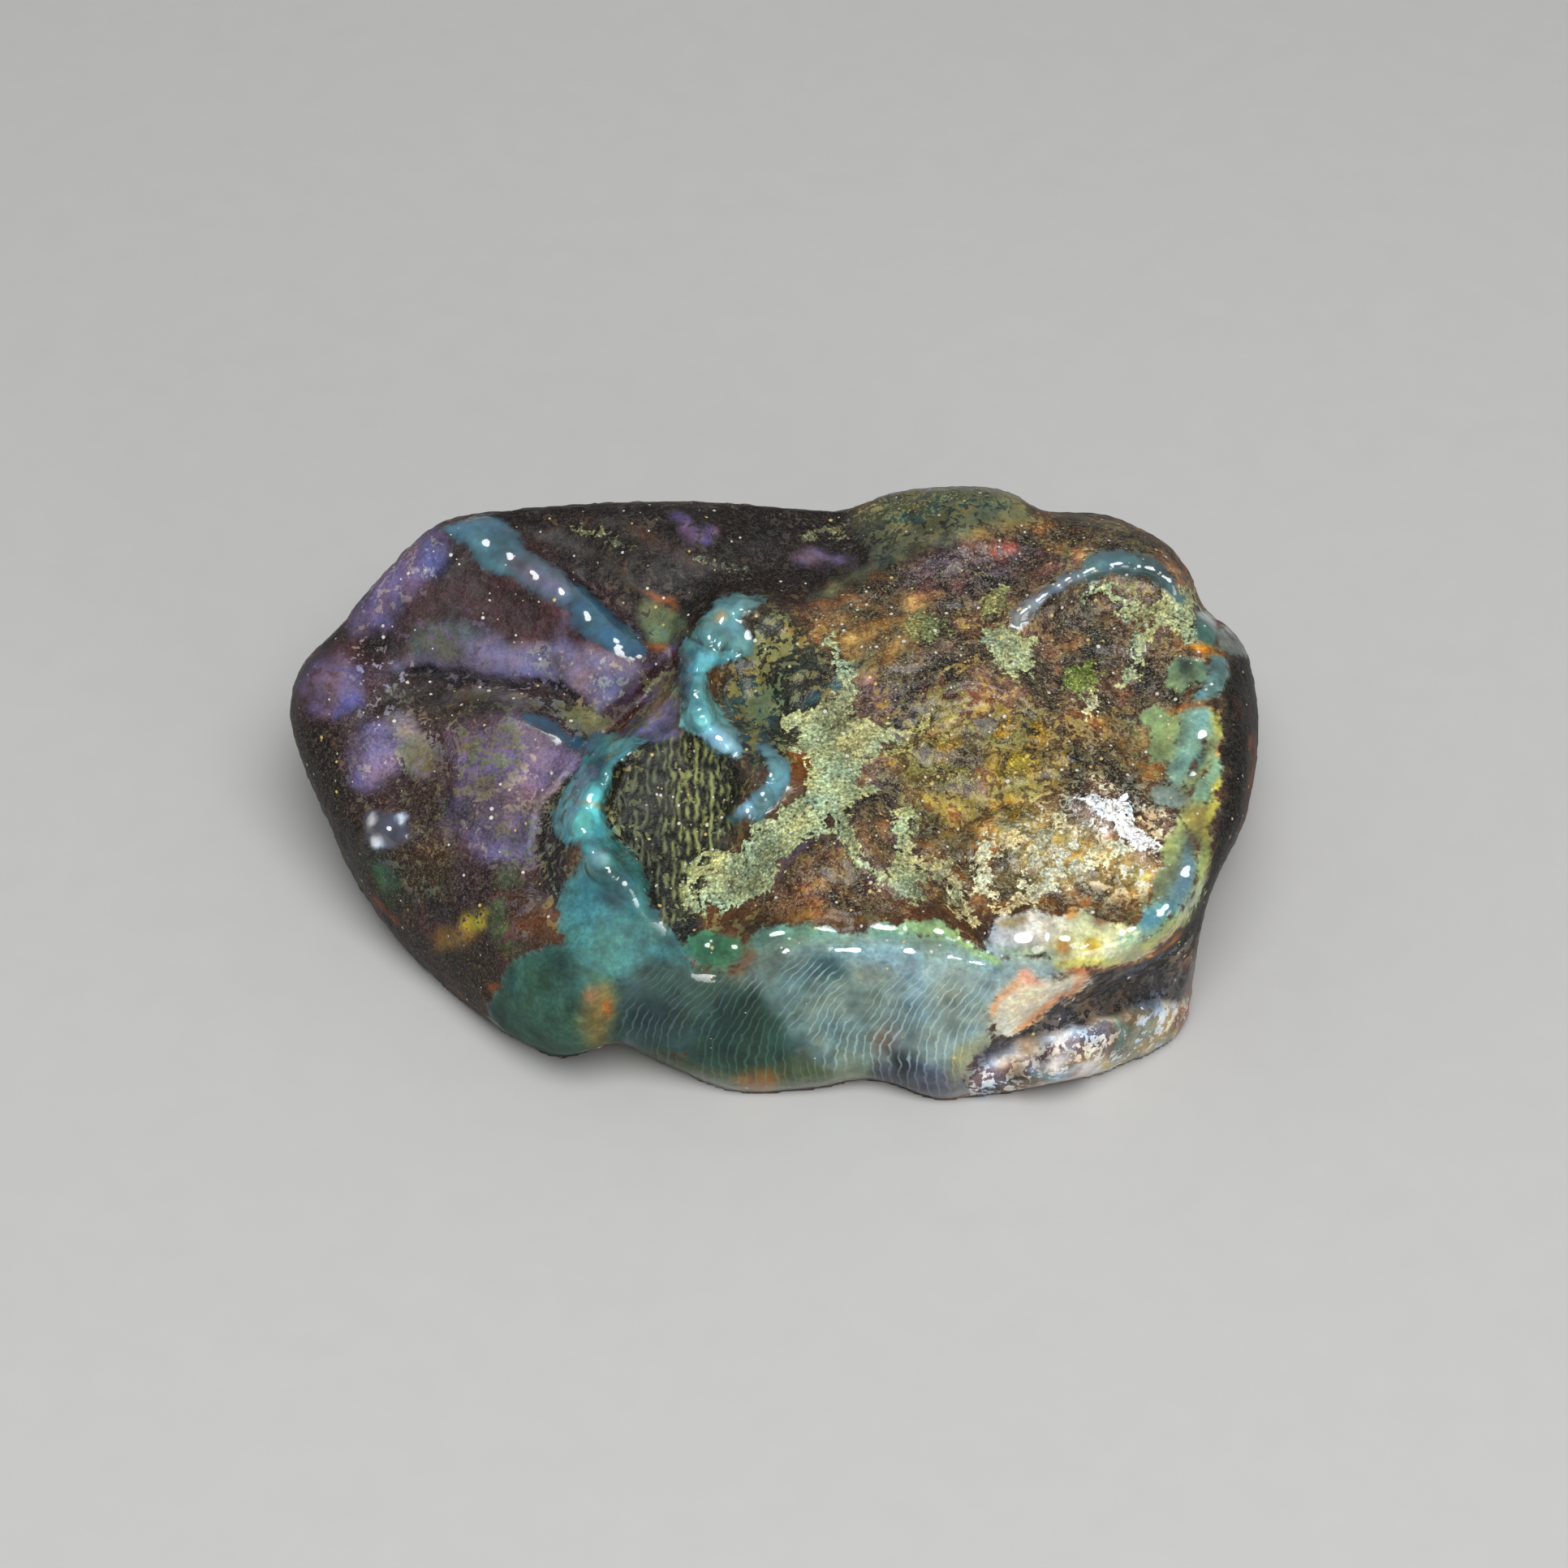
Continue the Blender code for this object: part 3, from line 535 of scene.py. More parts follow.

# The smooth skin: turquoise ridges, the front band, the rims, and a painted highlight on the front rim
SKIN = [
    # hook, its tip, curtain
    patch((0.40, 0.62, 0.64), [
        (945, 739), (915, 733), (888, 739), (860, 765), (848, 790), (880, 800), (917, 806), (926, 791),
        (919, 777), (914, 763), (932, 748)]),
    patch((0.42, 0.77, 0.80), [
        (848, 785), (836, 825), (838, 850), (843, 868), (838, 887), (850, 901), (872, 900), (892, 885),
        (884, 868), (874, 849), (874, 829), (893, 820), (915, 808), (880, 795)]),
    patch((0.48, 0.76, 0.82), [
        (850, 895), (866, 910), (876, 926), (898, 936), (912, 930), (914, 910), (898, 887), (880, 880)]),
    vein((0.34, 0.54, 0.58), 0.85, [
        (940, 920), (954, 936), (960, 956), (952, 976), (936, 992), (916, 1004), (900, 1012)]),
    patch(TURQUOISE, [
        (738, 910), (716, 938), (701, 965), (689, 989), (680, 1006), (687, 1028), (706, 1042), (750, 1033),
        (748, 1015), (741, 996), (748, 977), (752, 958), (762, 939), (784, 922), (797, 912), (775, 906)]),
    patch((0.24, 0.56, 0.55), [
        (712, 1036), (717, 1053), (706, 1077), (697, 1101), (712, 1090), (746, 1078), (770, 1091),
        (793, 1125), (803, 1132), (800, 1105), (798, 1091), (789, 1063), (770, 1044), (750, 1030)]),
    # tongue
    patch((0.26, 0.49, 0.49), [
        (690, 1098), (708, 1076), (746, 1066), (778, 1082), (802, 1118), (830, 1154), (846, 1177),
        (800, 1200), (765, 1210), (730, 1195), (700, 1180), (692, 1150)]),
    patch((0.21, 0.36, 0.31), [
        (765, 1205), (765, 1250), (755, 1290), (717, 1305), (690, 1310), (668, 1305), (640, 1290),
        (612, 1265), (602, 1240), (615, 1215), (625, 1192), (640, 1180), (660, 1172), (695, 1165),
        (730, 1185)]),
    # front band, from the left to the right, then its lower edge
    patch((0.21, 0.31, 0.29), [
        (765, 1200), (800, 1160), (838, 1178), (860, 1196), (905, 1203), (915, 1230), (905, 1270),
        (850, 1300), (800, 1300), (755, 1290), (757, 1250)]),
    patch((0.17, 0.29, 0.25), [
        (850, 1225), (905, 1215), (960, 1230), (985, 1265), (975, 1310), (930, 1330), (870, 1325),
        (842, 1290)]),
    patch((0.42, 0.53, 0.51), [
        (900, 1205), (930, 1180), (960, 1165), (1000, 1180), (1010, 1230), (1000, 1290), (960, 1290),
        (930, 1240)]),
    patch((0.50, 0.60, 0.57), [
        (985, 1165), (1050, 1156), (1100, 1160), (1105, 1220), (1080, 1290), (1070, 1330), (1010, 1330),
        (985, 1280), (990, 1220)]),
    patch((0.54, 0.66, 0.66), [
        (955, 1160), (1050, 1150), (1130, 1154), (1190, 1162), (1225, 1180), (1235, 1195), (1150, 1196),
        (1060, 1190), (985, 1185)]),
    patch((0.56, 0.65, 0.63), [
        (1090, 1190), (1150, 1186), (1200, 1200), (1212, 1240), (1190, 1285), (1160, 1330), (1110, 1325),
        (1072, 1300), (1080, 1240)]),
    patch((0.56, 0.67, 0.66), [
        (1185, 1190), (1240, 1180), (1300, 1178), (1318, 1190), (1290, 1204), (1262, 1206), (1236, 1222),
        (1218, 1245), (1216, 1270), (1190, 1290), (1180, 1240)]),
    patch((0.31, 0.36, 0.25), [
        (800, 1290), (842, 1306), (905, 1312), (985, 1296), (1050, 1305), (1075, 1320), (1053, 1339),
        (985, 1354), (945, 1359), (905, 1357), (842, 1333)]),
    patch((0.36, 0.38, 0.42), [
        (1100, 1300), (1150, 1300), (1178, 1312), (1192, 1345), (1167, 1368), (1140, 1364), (1095, 1343),
        (1060, 1340), (1066, 1320)]),
    patch((0.62, 0.61, 0.42), [
        (1180, 1282), (1205, 1272), (1222, 1276), (1215, 1292), (1196, 1305), (1186, 1330), (1172, 1336),
        (1166, 1318), (1168, 1298)]),
    # small bluish patch at the left
    patch((0.30, 0.31, 0.38), [
        (450, 1006), (462, 998), (480, 1002), (500, 1000), (506, 1014), (500, 1034), (484, 1046),
        (462, 1044), (452, 1028)]),
    # left and far ridges
    patch((0.29, 0.48, 0.55), [
        (548, 650), (575, 640), (600, 636), (630, 648), (648, 672), (660, 695), (640, 712), (612, 708),
        (590, 695), (575, 672), (558, 665)]),
    patch((0.36, 0.46, 0.54), [
        (645, 675), (670, 690), (700, 715), (712, 735), (695, 748), (665, 735), (640, 718), (636, 700)]),
    patch((0.20, 0.38, 0.48), [
        (700, 735), (715, 722), (735, 735), (755, 755), (778, 775), (792, 792), (796, 806), (780, 812),
        (755, 805), (730, 790), (710, 775), (700, 755)]),
    patch((0.18, 0.32, 0.42), [
        (648, 876), (680, 888), (700, 905), (725, 908), (742, 902), (740, 920), (715, 925), (690, 915),
        (665, 900), (646, 886)]),
    patch((0.52, 0.57, 0.60), [
        (1244, 772), (1248, 752), (1275, 732), (1298, 716), (1325, 700), (1335, 712), (1312, 728),
        (1285, 745), (1268, 762), (1252, 776)]),
    patch((0.32, 0.47, 0.48), [
        (1325, 704), (1350, 684), (1378, 678), (1410, 682), (1434, 697), (1450, 716), (1460, 742),
        (1446, 738), (1432, 722), (1405, 712), (1370, 708), (1340, 718)]),
    # right rim, from the top down
    patch((0.22, 0.40, 0.35), [
        (1472, 758), (1482, 754), (1493, 762), (1500, 776), (1497, 792), (1487, 796), (1476, 786),
        (1472, 770)]),
    patch((0.44, 0.47, 0.45), [
        (1500, 776), (1515, 778), (1528, 790), (1537, 806), (1524, 808), (1510, 803), (1502, 794)]),
    patch((0.40, 0.60, 0.60), [
        (1494, 808), (1508, 808), (1514, 825), (1507, 845), (1500, 858), (1488, 863), (1477, 869),
        (1471, 858), (1480, 848), (1488, 842), (1488, 828)]),
    patch((0.50, 0.62, 0.44), [
        (1438, 838), (1445, 816), (1460, 811), (1478, 814), (1490, 822), (1484, 836), (1468, 840),
        (1455, 850), (1441, 848)]),
    patch((0.56, 0.66, 0.42), [
        (1403, 882), (1424, 872), (1440, 877), (1456, 880), (1458, 896), (1452, 915), (1446, 936),
        (1430, 940), (1416, 927), (1420, 905), (1410, 893)]),
    patch((0.56, 0.76, 0.68), [
        (1454, 884), (1465, 870), (1480, 867), (1493, 870), (1498, 886), (1493, 906), (1482, 916),
        (1476, 932), (1466, 948), (1460, 966), (1450, 970), (1440, 958), (1440, 944), (1449, 928),
        (1453, 908)]),
    patch((0.62, 0.60, 0.34), [
        (1494, 882), (1499, 876), (1504, 892), (1503, 912), (1496, 925), (1488, 945), (1474, 968),
        (1463, 976), (1460, 962), (1474, 944), (1486, 922)]),
    patch((0.48, 0.66, 0.55), [
        (1490, 926), (1500, 914), (1504, 940), (1502, 968), (1494, 986), (1483, 992), (1470, 990),
        (1476, 968), (1488, 946)]),
    patch((0.50, 0.56, 0.52), [
        (1414, 975), (1430, 966), (1452, 972), (1470, 985), (1462, 998), (1440, 996), (1420, 990)]),
    patch((0.58, 0.54, 0.24), [
        (1462, 990), (1490, 990), (1502, 990), (1496, 1012), (1484, 1032), (1474, 1040), (1466, 1020),
        (1455, 1005)]),
    patch((0.68, 0.74, 0.44), [
        (1432, 1040), (1444, 1026), (1456, 1010), (1464, 1030), (1456, 1052), (1446, 1068), (1432, 1062)]),
    patch((0.36, 0.50, 0.56), [
        (1450, 1078), (1454, 1056), (1462, 1030), (1471, 1042), (1476, 1068), (1474, 1092), (1466, 1112),
        (1448, 1112), (1440, 1100)]),
    patch((0.50, 0.54, 0.38), [
        (1420, 1092), (1430, 1070), (1446, 1064), (1452, 1080), (1442, 1104), (1424, 1112)]),
    patch((0.30, 0.52, 0.56), [
        (1398, 1140), (1410, 1122), (1426, 1110), (1448, 1104), (1456, 1118), (1440, 1132), (1424, 1148),
        (1404, 1156)]),
    patch((0.76, 0.80, 0.40), [
        (1480, 1040), (1489, 1030), (1489, 1062), (1483, 1092), (1474, 1116), (1452, 1142), (1432, 1158),
        (1412, 1178), (1396, 1184), (1400, 1166), (1430, 1142), (1458, 1120), (1474, 1092)]),
    patch((0.90, 0.90, 0.66), [
        (1288, 1140), (1330, 1122), (1366, 1136), (1400, 1142), (1410, 1158), (1402, 1180), (1366, 1190),
        (1328, 1192), (1296, 1182), (1280, 1165)]),
    # front rim
    # painted highlight: a near-white patch where the glare falls on the front rim
    patch((0.99, 0.99, 0.97), [
        (1216, 1172), (1218, 1150), (1232, 1134), (1262, 1126), (1290, 1128), (1325, 1134), (1332, 1150),
        (1318, 1164), (1285, 1174), (1250, 1178), (1226, 1182)]),
    patch((0.40, 0.62, 0.52), [
        (920, 1172), (936, 1148), (955, 1142), (985, 1138), (1012, 1140), (1030, 1148), (1060, 1152),
        (1078, 1142), (1100, 1138), (1110, 1148), (1140, 1152), (1168, 1154), (1200, 1172), (1160, 1174),
        (1100, 1168), (1050, 1168), (1000, 1170), (962, 1174), (938, 1186)]),
    patch((0.54, 0.68, 0.44), [
        (1108, 1142), (1134, 1134), (1160, 1136), (1178, 1146), (1196, 1162), (1216, 1176), (1236, 1188),
        (1234, 1194), (1210, 1186), (1184, 1170), (1160, 1156), (1130, 1152), (1108, 1150)]),
    patch((0.22, 0.48, 0.32), [
        (843, 1160), (862, 1146), (885, 1148), (908, 1155), (918, 1170), (908, 1190), (890, 1198),
        (862, 1192), (848, 1178)]),
    patch((0.62, 0.42, 0.22), [
        (902, 1200), (912, 1186), (918, 1168), (934, 1170), (940, 1180), (926, 1194), (910, 1206)]),
    # pale patch at the lower right
    patch((0.98, 0.93, 0.80), [
        (1218, 1246), (1226, 1226), (1242, 1211), (1260, 1200), (1268, 1192), (1278, 1202), (1300, 1204),
        (1322, 1196), (1344, 1198), (1332, 1220), (1310, 1232), (1290, 1245), (1270, 1262), (1250, 1276),
        (1230, 1275), (1222, 1262)]),
]

# Stains in the skin and painted highlights on it, later ones over earlier ones
STAINS_AND_HIGHLIGHTS = [
    area((0.66, 0.74, 0.62), 0.8, [
        (1225, 1168), (1250, 1166), (1290, 1168), (1320, 1162), (1300, 1180), (1250, 1184)]),
    area((0.80, 0.74, 0.52), 0.7, [(1228, 1140), (1252, 1130), (1266, 1134), (1248, 1144)]),
    # painted highlights: pale blue-white specks on the bluish lumps at the left
    area((0.92, 0.94, 0.98), 0.4, [(452, 1012), (460, 1002), (466, 1010), (458, 1020)]),
    area((0.90, 0.93, 0.98), 0.4, [(490, 1004), (500, 1000), (504, 1010), (496, 1016)]),
    area((0.88, 0.92, 0.98), 0.4, [(460, 1030), (472, 1034), (470, 1044), (460, 1040)]),
    area((0.52, 0.46, 0.26), 1.8, [
        (722, 1225), (745, 1212), (758, 1225), (757, 1255), (750, 1285), (730, 1290), (716, 1265)]),
    area((0.62, 0.32, 0.10), 0.8, [(744, 1236), (751, 1234), (753, 1248), (746, 1250)]),
    area((0.60, 0.42, 0.28), 1.0, [(716, 1222), (728, 1218), (732, 1230), (720, 1234)]),
    area((0.17, 0.25, 0.26), 2.5, [(780, 1232), (820, 1225), (835, 1250), (820, 1280), (785, 1275)]),
    area((0.56, 0.40, 0.20), 1.4, [(905, 1326), (935, 1320), (962, 1330), (945, 1348), (915, 1345)]),
    area((0.28, 0.38, 0.40), 2.0, [(750, 1098), (765, 1098), (768, 1112), (752, 1114)]),
    line((0.66, 0.78, 0.46), 0.6, 0.3, [(1172, 1140), (1190, 1160), (1212, 1177), (1230, 1188)]),
    line((0.84, 0.44, 0.12), 0.6, 0.3, [
        (1318, 1196), (1350, 1195), (1400, 1187), (1426, 1170), (1452, 1146)]),
    line((0.86, 0.62, 0.16), 0.6, 0.3, RIM_SEAM),
    line((0.80, 0.76, 0.30), 0.5, 0.3, [(1494, 872), (1501, 890), (1504, 906)]),
    line((0.88, 0.46, 0.12), 0.5, 0.3, [(1505, 912), (1506, 930)]),
    line((0.80, 0.76, 0.30), 0.5, 0.3, [(1504, 956), (1498, 986), (1491, 1012), (1484, 1034)]),
    line((0.20, 0.40, 0.38), 0.7, 0.4, [(1486, 914), (1478, 936), (1468, 956)]),
    line((0.60, 0.40, 0.20), 0.7, 0.3, [(1456, 870), (1476, 868), (1494, 866), (1502, 880)]),
    area((0.20, 0.34, 0.26), 0.8, [(1456, 814), (1468, 814), (1468, 826), (1456, 826)]),
    area((0.84, 0.70, 0.18), 0.8, [(1338, 1160), (1352, 1158), (1356, 1172), (1342, 1176)]),
    area((0.82, 0.56, 0.24), 0.8, [(1312, 1118), (1326, 1116), (1330, 1130), (1316, 1134)]),
    area((0.84, 0.62, 0.28), 0.8, [(1304, 1160), (1316, 1158), (1318, 1170), (1306, 1172)]),
    area((0.74, 0.50, 0.30), 0.8, [(1350, 1124), (1362, 1122), (1364, 1136), (1352, 1138)]),
    area((0.60, 0.76, 0.62), 1.0, [(1376, 1154), (1396, 1148), (1400, 1160), (1382, 1168)]),
    line((0.86, 0.84, 0.34), 0.6, 0.3, [
        (1300, 1188), (1330, 1186), (1370, 1186), (1400, 1176), (1424, 1158)]),
    area((0.95, 0.68, 0.58), 0.7, [(1254, 1206), (1264, 1192), (1274, 1204), (1286, 1214), (1268, 1216)]),
    line((0.95, 0.66, 0.42), 0.5, 0.22, [(1222, 1250), (1232, 1228), (1256, 1208)]),
    line((0.94, 0.62, 0.36), 0.6, 0.30, [
        (1340, 1202), (1320, 1222), (1300, 1232), (1276, 1254), (1252, 1272)]),
    area((0.99, 0.95, 0.84), 1.0, [(1258, 1232), (1280, 1218), (1306, 1214), (1296, 1228), (1268, 1248)]),
    area((0.95, 0.97, 0.88), 0.8, [(1232, 1252), (1246, 1244), (1250, 1260), (1238, 1268)]),
    area((0.48, 0.46, 0.44), 1.6, [(1074, 1272), (1100, 1266), (1108, 1288), (1096, 1304), (1078, 1296)]),
    area((0.17, 0.27, 0.25), 1.8, [(918, 1226), (934, 1220), (938, 1240), (922, 1244)]),
    area((0.17, 0.27, 0.24), 2.0, [(892, 1244), (912, 1248), (908, 1270), (890, 1266)]),
    area((0.24, 0.28, 0.30), 1.6, [(1100, 1304), (1124, 1296), (1136, 1318), (1112, 1328)]),
    area((0.48, 0.52, 0.44), 1.6, [(1032, 1296), (1050, 1300), (1052, 1326), (1030, 1322)]),
    area((0.26, 0.42, 0.42), 1.6, [(1000, 1176), (1030, 1180), (1040, 1200), (1010, 1204)]),
    line((0.56, 0.34, 0.10), 0.7, 0.3, [(900, 1198), (916, 1190), (930, 1176)]),
    area((0.55, 0.40, 0.14), 0.8, [(922, 770), (938, 748), (946, 752), (934, 776)]),
    area((0.60, 0.58, 0.46), 0.7, [(880, 760), (892, 753), (896, 762), (884, 770)]),
    area((0.13, 0.38, 0.26), 1.4, [(862, 1160), (884, 1156), (900, 1168), (890, 1184), (866, 1180)]),
    area((0.44, 0.42, 0.52), 1.6, [(625, 685), (650, 690), (690, 718), (690, 735), (660, 722), (636, 704)]),
    area((0.18, 0.34, 0.40), 1.6, [(560, 660), (580, 668), (600, 690), (590, 696), (570, 676)]),
    # painted highlights: the turquoise lightened to pale cyan on the lower end of the hook, its tip and the
    # lower end of the curtain
    area((0.64, 0.86, 0.94), 1.0, [(868, 908), (885, 898), (905, 910), (908, 926), (890, 928)]),
    area((0.60, 0.82, 0.92), 1.0, [(905, 985), (922, 976), (930, 994), (914, 1010), (903, 1002)]),
    area((0.52, 0.76, 0.82), 1.0, [(728, 1044), (744, 1044), (752, 1058), (740, 1068), (728, 1060)]),
    area((0.27, 0.54, 0.58), 1.2, [(846, 840), (862, 842), (862, 868), (848, 862)]),
    area((0.34, 0.58, 0.60), 1.2, [(862, 782), (884, 776), (890, 796), (866, 804)]),
    area((0.15, 0.40, 0.43), 1.2, [(728, 945), (750, 930), (752, 945), (736, 965)]),
    line((0.54, 0.60, 0.52), 0.5, 0.2, [(712, 988), (730, 990), (744, 998)]),
]

# The crust: ragged grainy patches and veins, and one painted highlight drawn as crust
CRUST_AND_HIGHLIGHT = [
    patch(OLIVE_GOLD, [
        (1020, 800), (1015, 790), (1028, 785), (1030, 800), (1035, 812), (1050, 825), (1055, 845),
        (1055, 870), (1065, 885), (1085, 895), (1100, 900), (1105, 910), (1090, 920), (1075, 935),
        (1065, 950), (1058, 965), (1075, 965), (1085, 975), (1060, 980), (1045, 990), (1048, 1010),
        (1055, 1040), (1065, 1060), (1085, 1080), (1100, 1085), (1115, 1060), (1125, 1080), (1130, 1110),
        (1100, 1100), (1080, 1085), (1060, 1068), (1045, 1050), (1035, 1030), (1025, 1010), (1010, 1020),
        (1000, 1035), (985, 1045), (970, 1060), (960, 1075), (955, 1090), (945, 1105), (930, 1110),
        (910, 1115), (880, 1118), (855, 1120), (850, 1110), (860, 1095), (865, 1080), (870, 1060),
        (880, 1045), (900, 1050), (920, 1040), (930, 1020), (945, 1005), (965, 995), (985, 985), (995, 970),
        (1000, 950), (990, 930), (975, 920), (985, 905), (965, 900), (960, 885), (975, 870), (990, 880),
        (1000, 870), (1010, 870), (1020, 860), (1030, 845), (1025, 820)]),
    patch((0.44, 0.46, 0.28), [
        (1115, 765), (1135, 757), (1160, 762), (1165, 775), (1150, 785), (1135, 790), (1120, 785)]),
    patch((0.56, 0.57, 0.35), [
        (1208, 750), (1215, 730), (1235, 725), (1242, 735), (1240, 755), (1230, 770), (1220, 775),
        (1208, 765)]),
    patch(OLIVE_GOLD, [
        (1215, 785), (1230, 778), (1245, 775), (1255, 785), (1268, 785), (1268, 805), (1275, 820),
        (1260, 825), (1245, 830), (1235, 822), (1220, 810), (1215, 798)]),
    vein(OLIVE_GOLD, 0.35, [(1334, 744), (1345, 728), (1360, 718), (1374, 728), (1388, 745), (1410, 758)]),
    vein(OLIVE_GOLD, 0.55, [(1345, 722), (1362, 722), (1374, 736)]),
    patch(OLIVE_GOLD, [
        (1405, 752), (1425, 742), (1432, 730), (1450, 722), (1466, 732), (1474, 750), (1470, 775),
        (1480, 792), (1462, 787), (1448, 775), (1432, 772), (1420, 782), (1412, 770)]),
    vein(OLIVE_GOLD, 0.45, [(1422, 768), (1410, 790), (1402, 812), (1392, 830), (1382, 845)]),
    vein(OLIVE_GOLD, 0.25, [(1375, 755), (1395, 765), (1415, 765)]),
    patch((0.46, 0.54, 0.24), [
        (1312, 832), (1328, 818), (1350, 820), (1350, 840), (1335, 852), (1316, 850)]),
    patch(PALE_CREAM, [(1335, 862), (1352, 860), (1356, 880), (1340, 886)]),
    patch((0.64, 0.66, 0.46), [
        (1100, 1000), (1115, 990), (1128, 1000), (1125, 1030), (1130, 1060), (1150, 1062), (1165, 1070),
        (1160, 1080), (1142, 1082), (1140, 1105), (1130, 1112), (1110, 1100), (1090, 1085), (1105, 1065),
        (1100, 1030)]),
    vein((0.78, 0.77, 0.58), 0.60, [
        (1128, 1062), (1150, 1066), (1168, 1080), (1180, 1098), (1190, 1118), (1210, 1142)]),
    vein(PALE_CREAM, 0.60, [(1217, 1035), (1210, 1055), (1210, 1075), (1222, 1105)]),
    vein(PALE_CREAM, 0.60, [(1230, 1122), (1260, 1112), (1290, 1098), (1310, 1090)]),
    vein(PALE_CREAM, 0.60, [(1262, 1095), (1270, 1060), (1290, 1030), (1312, 1010)]),
    vein(PALE_CREAM, 0.6, [(1290, 1085), (1340, 1058), (1395, 1050)]),
    vein(PALE_CREAM, 0.55, [(1225, 1060), (1245, 1040), (1275, 1030)]),
    vein((0.84, 0.80, 0.68), 0.3, [(1300, 1060), (1320, 1040), (1325, 1015)]),
    # painted highlight: a near-white patch where the glare falls on the right slope
    patch((0.98, 0.98, 0.96), [
        (1330, 980), (1350, 985), (1378, 980), (1390, 995), (1395, 1015), (1420, 1030), (1435, 1040),
        (1410, 1050), (1380, 1040), (1362, 1020), (1345, 1000)]),
    patch(MUSTARD, [(1228, 894), (1242, 888), (1252, 902), (1240, 914), (1228, 908)]),
    patch(MUSTARD, [(1266, 898), (1280, 896), (1286, 908), (1272, 916)]),
    patch((0.60, 0.50, 0.12), [
        (1235, 950), (1245, 935), (1270, 930), (1280, 945), (1265, 960), (1245, 962)]),
    patch(MUSTARD, [(1235, 994), (1248, 988), (1258, 1002), (1246, 1012)]),
    patch(MUSTARD, [(1156, 918), (1170, 915), (1175, 930), (1160, 934)]),
    vein(OLIVE_GOLD, 0.5, [(985, 905), (1000, 940), (1000, 985), (975, 1005)]),
    vein(OLIVE_GOLD, 0.4, [(850, 1118), (842, 1096), (852, 1070), (868, 1050)]),
    vein(OLIVE_GOLD, 0.4, [(905, 1110), (925, 1085), (955, 1060), (980, 1040)]),
    vein((0.62, 0.62, 0.40), 0.3, [(1100, 905), (1130, 895), (1150, 880)]),
    vein((0.54, 0.50, 0.26), 0.35, [(1090, 930), (1130, 915), (1170, 905), (1200, 890)]),
    vein((0.50, 0.46, 0.24), 0.3, [(1120, 960), (1160, 955), (1200, 968)]),
    vein((0.56, 0.50, 0.30), 0.3, [(1160, 830), (1185, 822), (1215, 820)]),
    # flecked olive on the far side
    vein((0.36, 0.37, 0.25), 0.35, [(1060, 640), (1110, 625), (1160, 615), (1215, 612)]),
    vein((0.36, 0.36, 0.26), 0.25, [(985, 660), (1020, 655), (1050, 660)]),
    vein((0.38, 0.38, 0.27), 0.2, [(700, 655), (740, 662), (780, 680)]),
    vein((0.38, 0.38, 0.30), 0.2, [(860, 690), (900, 700), (930, 705)]),
]

# Relief in millimetres. Beads: radius, height, place. Cuts: half width, depth, line. Ledges: height, ring
BEADS = [
    (1.2, 0.45, (912, 744)), (1.2, 0.45, (888, 752)), (1.3, 0.55, (868, 776)), (1.2, 0.50, (898, 792)),
    (1.3, 0.60, (850, 812)), (1.3, 0.60, (855, 846)), (1.4, 0.65, (862, 880)), (1.3, 0.65, (890, 914)),
    (1.1, 0.50, (952, 948)), (1.1, 0.50, (938, 982)), (1.2, 0.65, (911, 1002)), (1.0, 0.30, (930, 752)),
    (1.2, 0.35, (775, 922)), (1.3, 0.40, (748, 946)), (1.3, 0.50, (724, 978)), (1.3, 0.55, (712, 1012)),
    (1.3, 0.50, (728, 1042)), (1.6, 0.65, (745, 1066)), (1.3, 0.45, (776, 1090)), (1.2, 0.35, (792, 1116)),
    (1.5, 0.40, (590, 655)), (1.3, 0.30, (623, 670)), (1.2, 0.30, (655, 693)), (1.2, 0.30, (690, 715)),
    (1.2, 0.30, (722, 745)), (1.2, 0.35, (760, 778)), (1.0, 0.30, (793, 806)),
    (1.3, 0.50, (1262, 756)), (1.0, 0.30, (1290, 733)), (1.0, 0.30, (1318, 712)), (1.0, 0.30, (1350, 698)),
    (1.1, 0.30, (1385, 690)), (1.1, 0.30, (1420, 698)), (1.1, 0.30, (1448, 716)),
    (1.1, 0.30, (1484, 778)), (1.2, 0.35, (1495, 830)), (1.3, 0.35, (1476, 890)), (1.2, 0.30, (1466, 940)),
    (1.2, 0.30, (1462, 1060)), (1.2, 0.30, (1442, 1110)), (1.2, 0.30, (1402, 1142)),
    (1.0, 0.30, (862, 1160)), (1.0, 0.25, (893, 1166)), (1.1, 0.45, (940, 1154)), (1.0, 0.30, (973, 1150)),
    (1.0, 0.40, (1003, 1147)), (0.9, 0.25, (1036, 1151)), (1.1, 0.45, (1073, 1140)),
    (0.9, 0.30, (1104, 1148)),
    (1.2, 0.40, (1136, 1146)), (1.0, 0.35, (1166, 1146)), (0.9, 0.30, (1195, 1160)),
    (1.3, 0.40, (1236, 1152)), (1.5, 0.40, (1272, 1142)), (1.4, 0.40, (1312, 1150)),
    (1.8, 0.50, (944, 1152)), (2.0, 0.50, (1003, 1150)), (1.8, 0.50, (1090, 1152)), (1.7, 0.50, (1152, 1152)),
    (2.4, 0.55, (1254, 1148)),
    (1.2, 0.50, (470, 1018)), (1.1, 0.40, (492, 1032)), (0.9, 0.30, (452, 1040)),
    (0.9, 0.30, (640, 1150)), (0.8, 0.30, (657, 1168)), (1.0, 0.30, (862, 656)),
    (1.4, 0.35, (1350, 990)), (1.2, 0.35, (1385, 1005)), (1.0, 0.30, (1410, 1036)),
]

